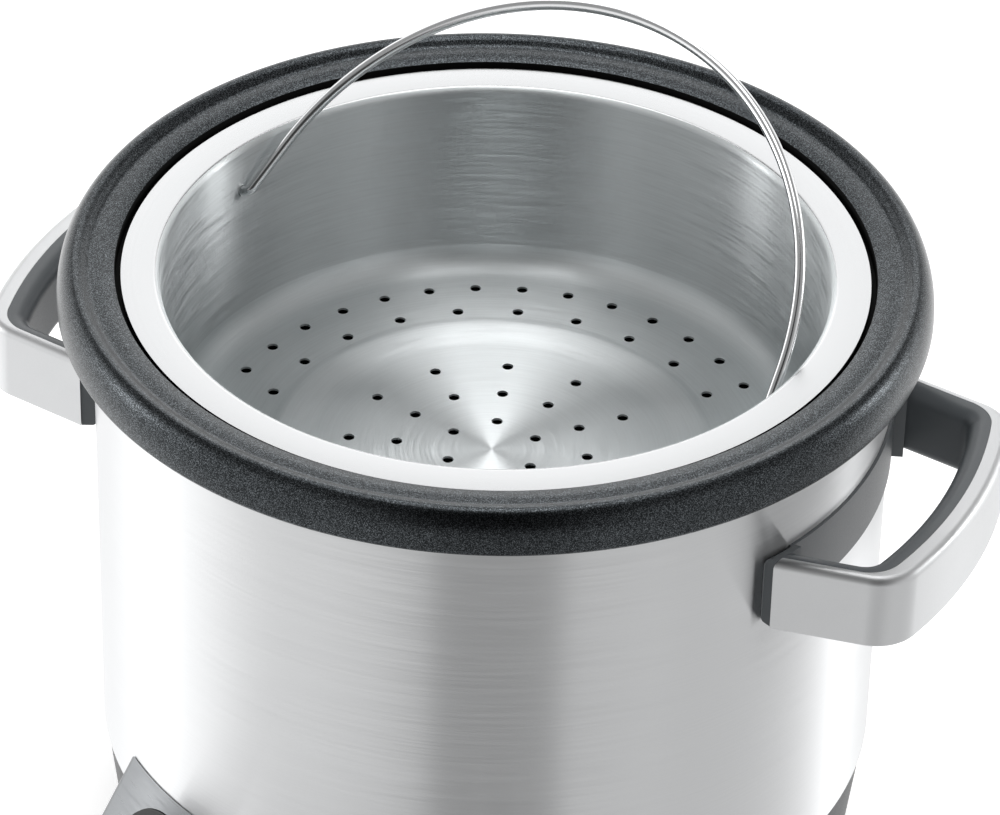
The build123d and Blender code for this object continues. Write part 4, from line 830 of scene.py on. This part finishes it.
# %% Bail path
wire_radius = 1.9
lean = radians(41.5)
bail_up = Vector((
    -sin(pivot_azimuth) * cos(lean), cos(pivot_azimuth) * cos(lean), sin(lean)))
arch_radius, arch_height, splay = 112.0, 115.0, radians(9.8)
arch_centre = arch_height - arch_radius
arch_foot_x = arch_radius * cos(splay)
arch_foot_y = arch_centre + arch_radius * sin(splay)
leg_foot_x = arch_foot_x + arch_foot_y * tan(splay)
head_inner, head_outer, head_radius, head_bevel, bend = 118.5, 119.7, 2.7, 0.3, 3.7
left_leg = round_path([
    (-head_outer, 0, 0),
    (-leg_foot_x, 0, bend),
    (-arch_foot_x, arch_foot_y, 0),
], arc_step=9, closed=False)
arch = arc_points((0, arch_centre), arch_radius, 180 - degrees(splay), degrees(splay), 120)
right_leg = [(-x, y) for x, y in left_leg[::-1]]
bail_path = left_leg + arch[1:-1] + right_leg
curve = bpy.data.curves.new("bail_path", "CURVE")
curve.dimensions = "3D"
spline = curve.splines.new("POLY")
spline.points.add(len(bail_path) - 1)
for point, (along, rise) in zip(spline.points, bail_path):
    place = (pivot_axis * along + bail_up * rise + pivot_middle) * MM
    point.co = (*place, 1)
bail_curve = bpy.data.objects.new("bail_curve", curve)
bpy.context.scene.collection.objects.link(bail_curve)
print("bail path has", len(bail_path), "points")

# %% [markdown]
# A second tree sweeps a circle along that path. The wire is one even bright metal, with its
# gloss a little worn.

# %% Wire
def wire_tree():
    """Geometry Nodes tree that sweeps a round wire along a curve."""
    tree, given = geometry_tree("sweep_wire", {"Wire radius": "Float"})
    section = add_node(tree, "GeometryNodeCurvePrimitiveCircle", {
        "Resolution": 32, "Radius": given["Wire radius"]})
    wire = add_node(tree, "GeometryNodeCurveToMesh", {
        "Curve": given["Geometry"], "Profile Curve": section.outputs["Curve"],
        "Fill Caps": True})
    end_tree(tree, wire.outputs["Mesh"], given["Material"])
    return tree


def bright_wire(name, colour, roughness, wear_mm=6):
    """Drawn wire: a bright metal whose gloss is a little uneven from handling."""
    material, tree, shader = new_material(name)
    place = add_node(tree, "ShaderNodeTexCoord").outputs["Object"]
    wear = add_node(tree, "ShaderNodeTexNoise", {
        "Vector": place, "Scale": 1 / (wear_mm * MM), "Detail": 4.0})
    rough = add_node(tree, "ShaderNodeMapRange", {
        "Value": wear.outputs["Fac"], "To Min": roughness * 0.7, "To Max": roughness * 1.3})
    shader.inputs["Base Color"].default_value = linear(colour)
    shader.inputs["Metallic"].default_value = 1.0
    tree.links.new(rough.outputs[0], shader.inputs["Roughness"])
    return material


wire_steel = bright_wire("drawn_stainless_wire", "#e2e3e4", 0.15)
sweeping = bail_curve.modifiers.new("wire", "NODES")
sweeping.node_group = wire_tree()
set_inputs(sweeping, {"Wire radius": wire_radius * MM, "Material": wire_steel})
wire_mesh = evaluated_mesh(bail_curve)
bpy.data.objects.remove(bail_curve)
print("wire", len(wire_mesh.polygons), "faces")

# %% [markdown]
# Each end of the wire is headed outside the wall, like a rivet, so it can't slip back in.

# %% Bail with its headed ends
bm = bmesh.new()
bm.from_mesh(wire_mesh)
for side in (-1, 1):
    middle = pivot_axis * side * (head_inner + head_outer) / 2 + pivot_middle
    add_rod(bm, middle, pivot_axis * side,
            head_radius, head_radius - head_bevel, head_outer - head_inner)
bm.to_mesh(wire_mesh)
bm.free()
bail = finish_mesh("bail_wire", wire_mesh, sharp_angle=40)
dress(bail, wire_steel, "bail", "bail_handle")

# %% [markdown]
# ## Moulded and cast finishes
#
# The other parts are moulded plastic, cast metal, rubber and plated sheet. Each material starts
# from its usual gloss and has the fine texture its making leaves: a sparked mould, a cast skin
# or a ground face.

# %% Moulded surface
cloud_mm = 25  # width of the mottling's patches


def moulded(name, colour, roughness, texture_mm, bump, shade=0.12, metallic=0.0, coat=0.0):
    """Moulded or cast surface: even colour, slight mottling and a fine sparked texture."""
    material, tree, shader = new_material(name)
    place = add_node(tree, "ShaderNodeTexCoord").outputs["Object"]
    grain = add_node(tree, "ShaderNodeTexNoise", {
        "Vector": place, "Scale": 1 / (texture_mm * MM), "Detail": 2.0})
    cloud = add_node(tree, "ShaderNodeTexNoise", {
        "Vector": place, "Scale": 1 / (cloud_mm * MM), "Detail": 2.0})
    light = linear(colour)
    dark = tuple(c * (1 - shade) for c in light[:3]) + (1,)
    mix = add_node(tree, "ShaderNodeMixRGB", {0: cloud.outputs["Fac"], 1: dark, 2: light})
    rough = noise_range(tree, grain, roughness * 0.88, roughness * 1.12)
    relief = add_node(tree, "ShaderNodeBump", {
        "Height": grain.outputs["Fac"], "Strength": bump, "Distance": 0.04 * MM})
    tree.links.new(mix.outputs[0], shader.inputs["Base Color"])
    tree.links.new(rough, shader.inputs["Roughness"])
    tree.links.new(relief.outputs[0], shader.inputs["Normal"])
    shader.inputs["Metallic"].default_value = metallic
    shader.inputs["Coat Weight"].default_value = coat
    return material


print("mottling is", cloud_mm, "mm wide")

# %% [markdown]
# Every slot of the model gets its finish. After the name come the colour, the roughness, the
# width of the texture in millimetres, the depth of the bump and, where given, the mottling. The
# handles are satin cast zinc over nylon, the base is polypropylene, the feet are silicone, the
# dials are turned aluminium and the buttons chromed ABS. The parts inside have their usual
# materials: plated sheet and screws, a heat-darkened element, green circuit board, black epoxy.

# %% Finishes
finishes = {
    "shell_steel": body_steel,
    "panel_steel": panel_steel,
    "basket_steel": basket_steel,
    "wire_steel": wire_steel,
    "bowl_coating": bowl_coat,
    "handle_metal": moulded("satin_cast_zinc", "#cdcecf", 0.44, 0.35, 0.10, 0.06, metallic=1.0),
    "handle_lining": moulded("satin_moulded_nylon", "#4b4f52", 0.42, 0.4, 0.15),
    "base_plastic": moulded("textured_polypropylene", "#2c2e30", 0.5, 0.45, 0.3),
    "foot_rubber": moulded("black_silicone_rubber", "#18191a", 0.8, 0.6, 0.3),
    "cast_aluminium": moulded("cast_aluminium", "#b9babb", 0.45, 0.8, 0.3, metallic=1.0),
    "plated_sheet": moulded("zinc_plated_sheet", "#a9aaa6", 0.35, 1.2, 0.1, metallic=1.0),
    "element_steel": moulded("heated_dull_steel", "#5e5a57", 0.5, 0.5, 0.2, metallic=1.0),
    "screw_steel": moulded("zinc_plated_screw", "#a7a8aa", 0.3, 0.3, 0.1, metallic=1.0),
    "display_pane": moulded("smoked_acrylic", "#0c0d0f", 0.08, 2.0, 0.0, coat=0.6),
    "display_black": moulded("display_glass_black", "#101212", 0.25, 1.0, 0.05),
    "circuit_board": moulded("green_solder_resist", "#14502a", 0.35, 0.5, 0.1),
    "component_black": moulded("moulded_epoxy_black", "#19191b", 0.5, 0.4, 0.2),
    "terminal_green": moulded("terminal_nylon_green", "#2d8a52", 0.45, 0.4, 0.15),
    "core_steel": moulded("laminated_core_steel", "#4b4b4e", 0.5, 0.4, 0.2, metallic=1.0),
    "fuse_body": moulded("fuse_ceramic", "#cfc9b6", 0.5, 0.4, 0.1),
    "bezel_black": moulded("satin_black_abs", "#08090a", 0.38, 1.5, 0.03),
    "dial_metal": moulded("spun_dial_aluminium", "#cbccce", 0.3, 0.3, 0.1, metallic=1.0),
    "button_plastic": moulded("satin_chromed_abs", "#c4c5c7", 0.28, 0.6, 0.05, metallic=1.0),
    "socket_plastic": moulded("black_phenolic", "#131313", 0.4, 0.5, 0.15),
    "pin_brass": moulded("nickel_plated_brass", "#c9b68a", 0.3, 0.5, 0.1, metallic=1.0),
}
print("finishes:", len(finishes))

# %% [markdown]
# ## The other parts
#
# Each CAD node gets the finish of its slot. Those that show get a smooth copy, with merged
# corners and soft shading, which stands for the node. The panel's plate shares the body's slot
# in the CAD, but gets a darker steel here.

# %% Finish every CAD node
for node in frame["nodes"].values():
    if node.material_slots:
        slot_name = node.material_slots[0].material.name.split(".")[0]
        for place in node.material_slots:
            place.material = finishes[slot_name]

smooth_nodes = {
    "handle_cover_left": "handle_metal", "handle_cover_right": "handle_metal",
    "handle_frame_left": "handle_lining", "handle_frame_right": "handle_lining",
    "base_moulding": "base_plastic", "panel_housing": "base_plastic",
    "control_panel_plate": "panel_steel", "inlet_housing": "base_plastic",
    "left_dial_bezel": "bezel_black", "right_dial_bezel": "bezel_black",
    "programme_dial": "dial_metal", "time_dial": "dial_metal",
    "start_button": "button_plastic", "stop_button": "button_plastic",
    "rubber_feet": "foot_rubber", "display_window": "display_pane",
    "top_collar": "base_plastic",
}
for node, slot_name in smooth_nodes.items():
    piece = smooth_copy(node + "_smooth", node)
    piece.data.materials.append(finishes[slot_name])
print("smooth copies:", len(smooth_nodes))
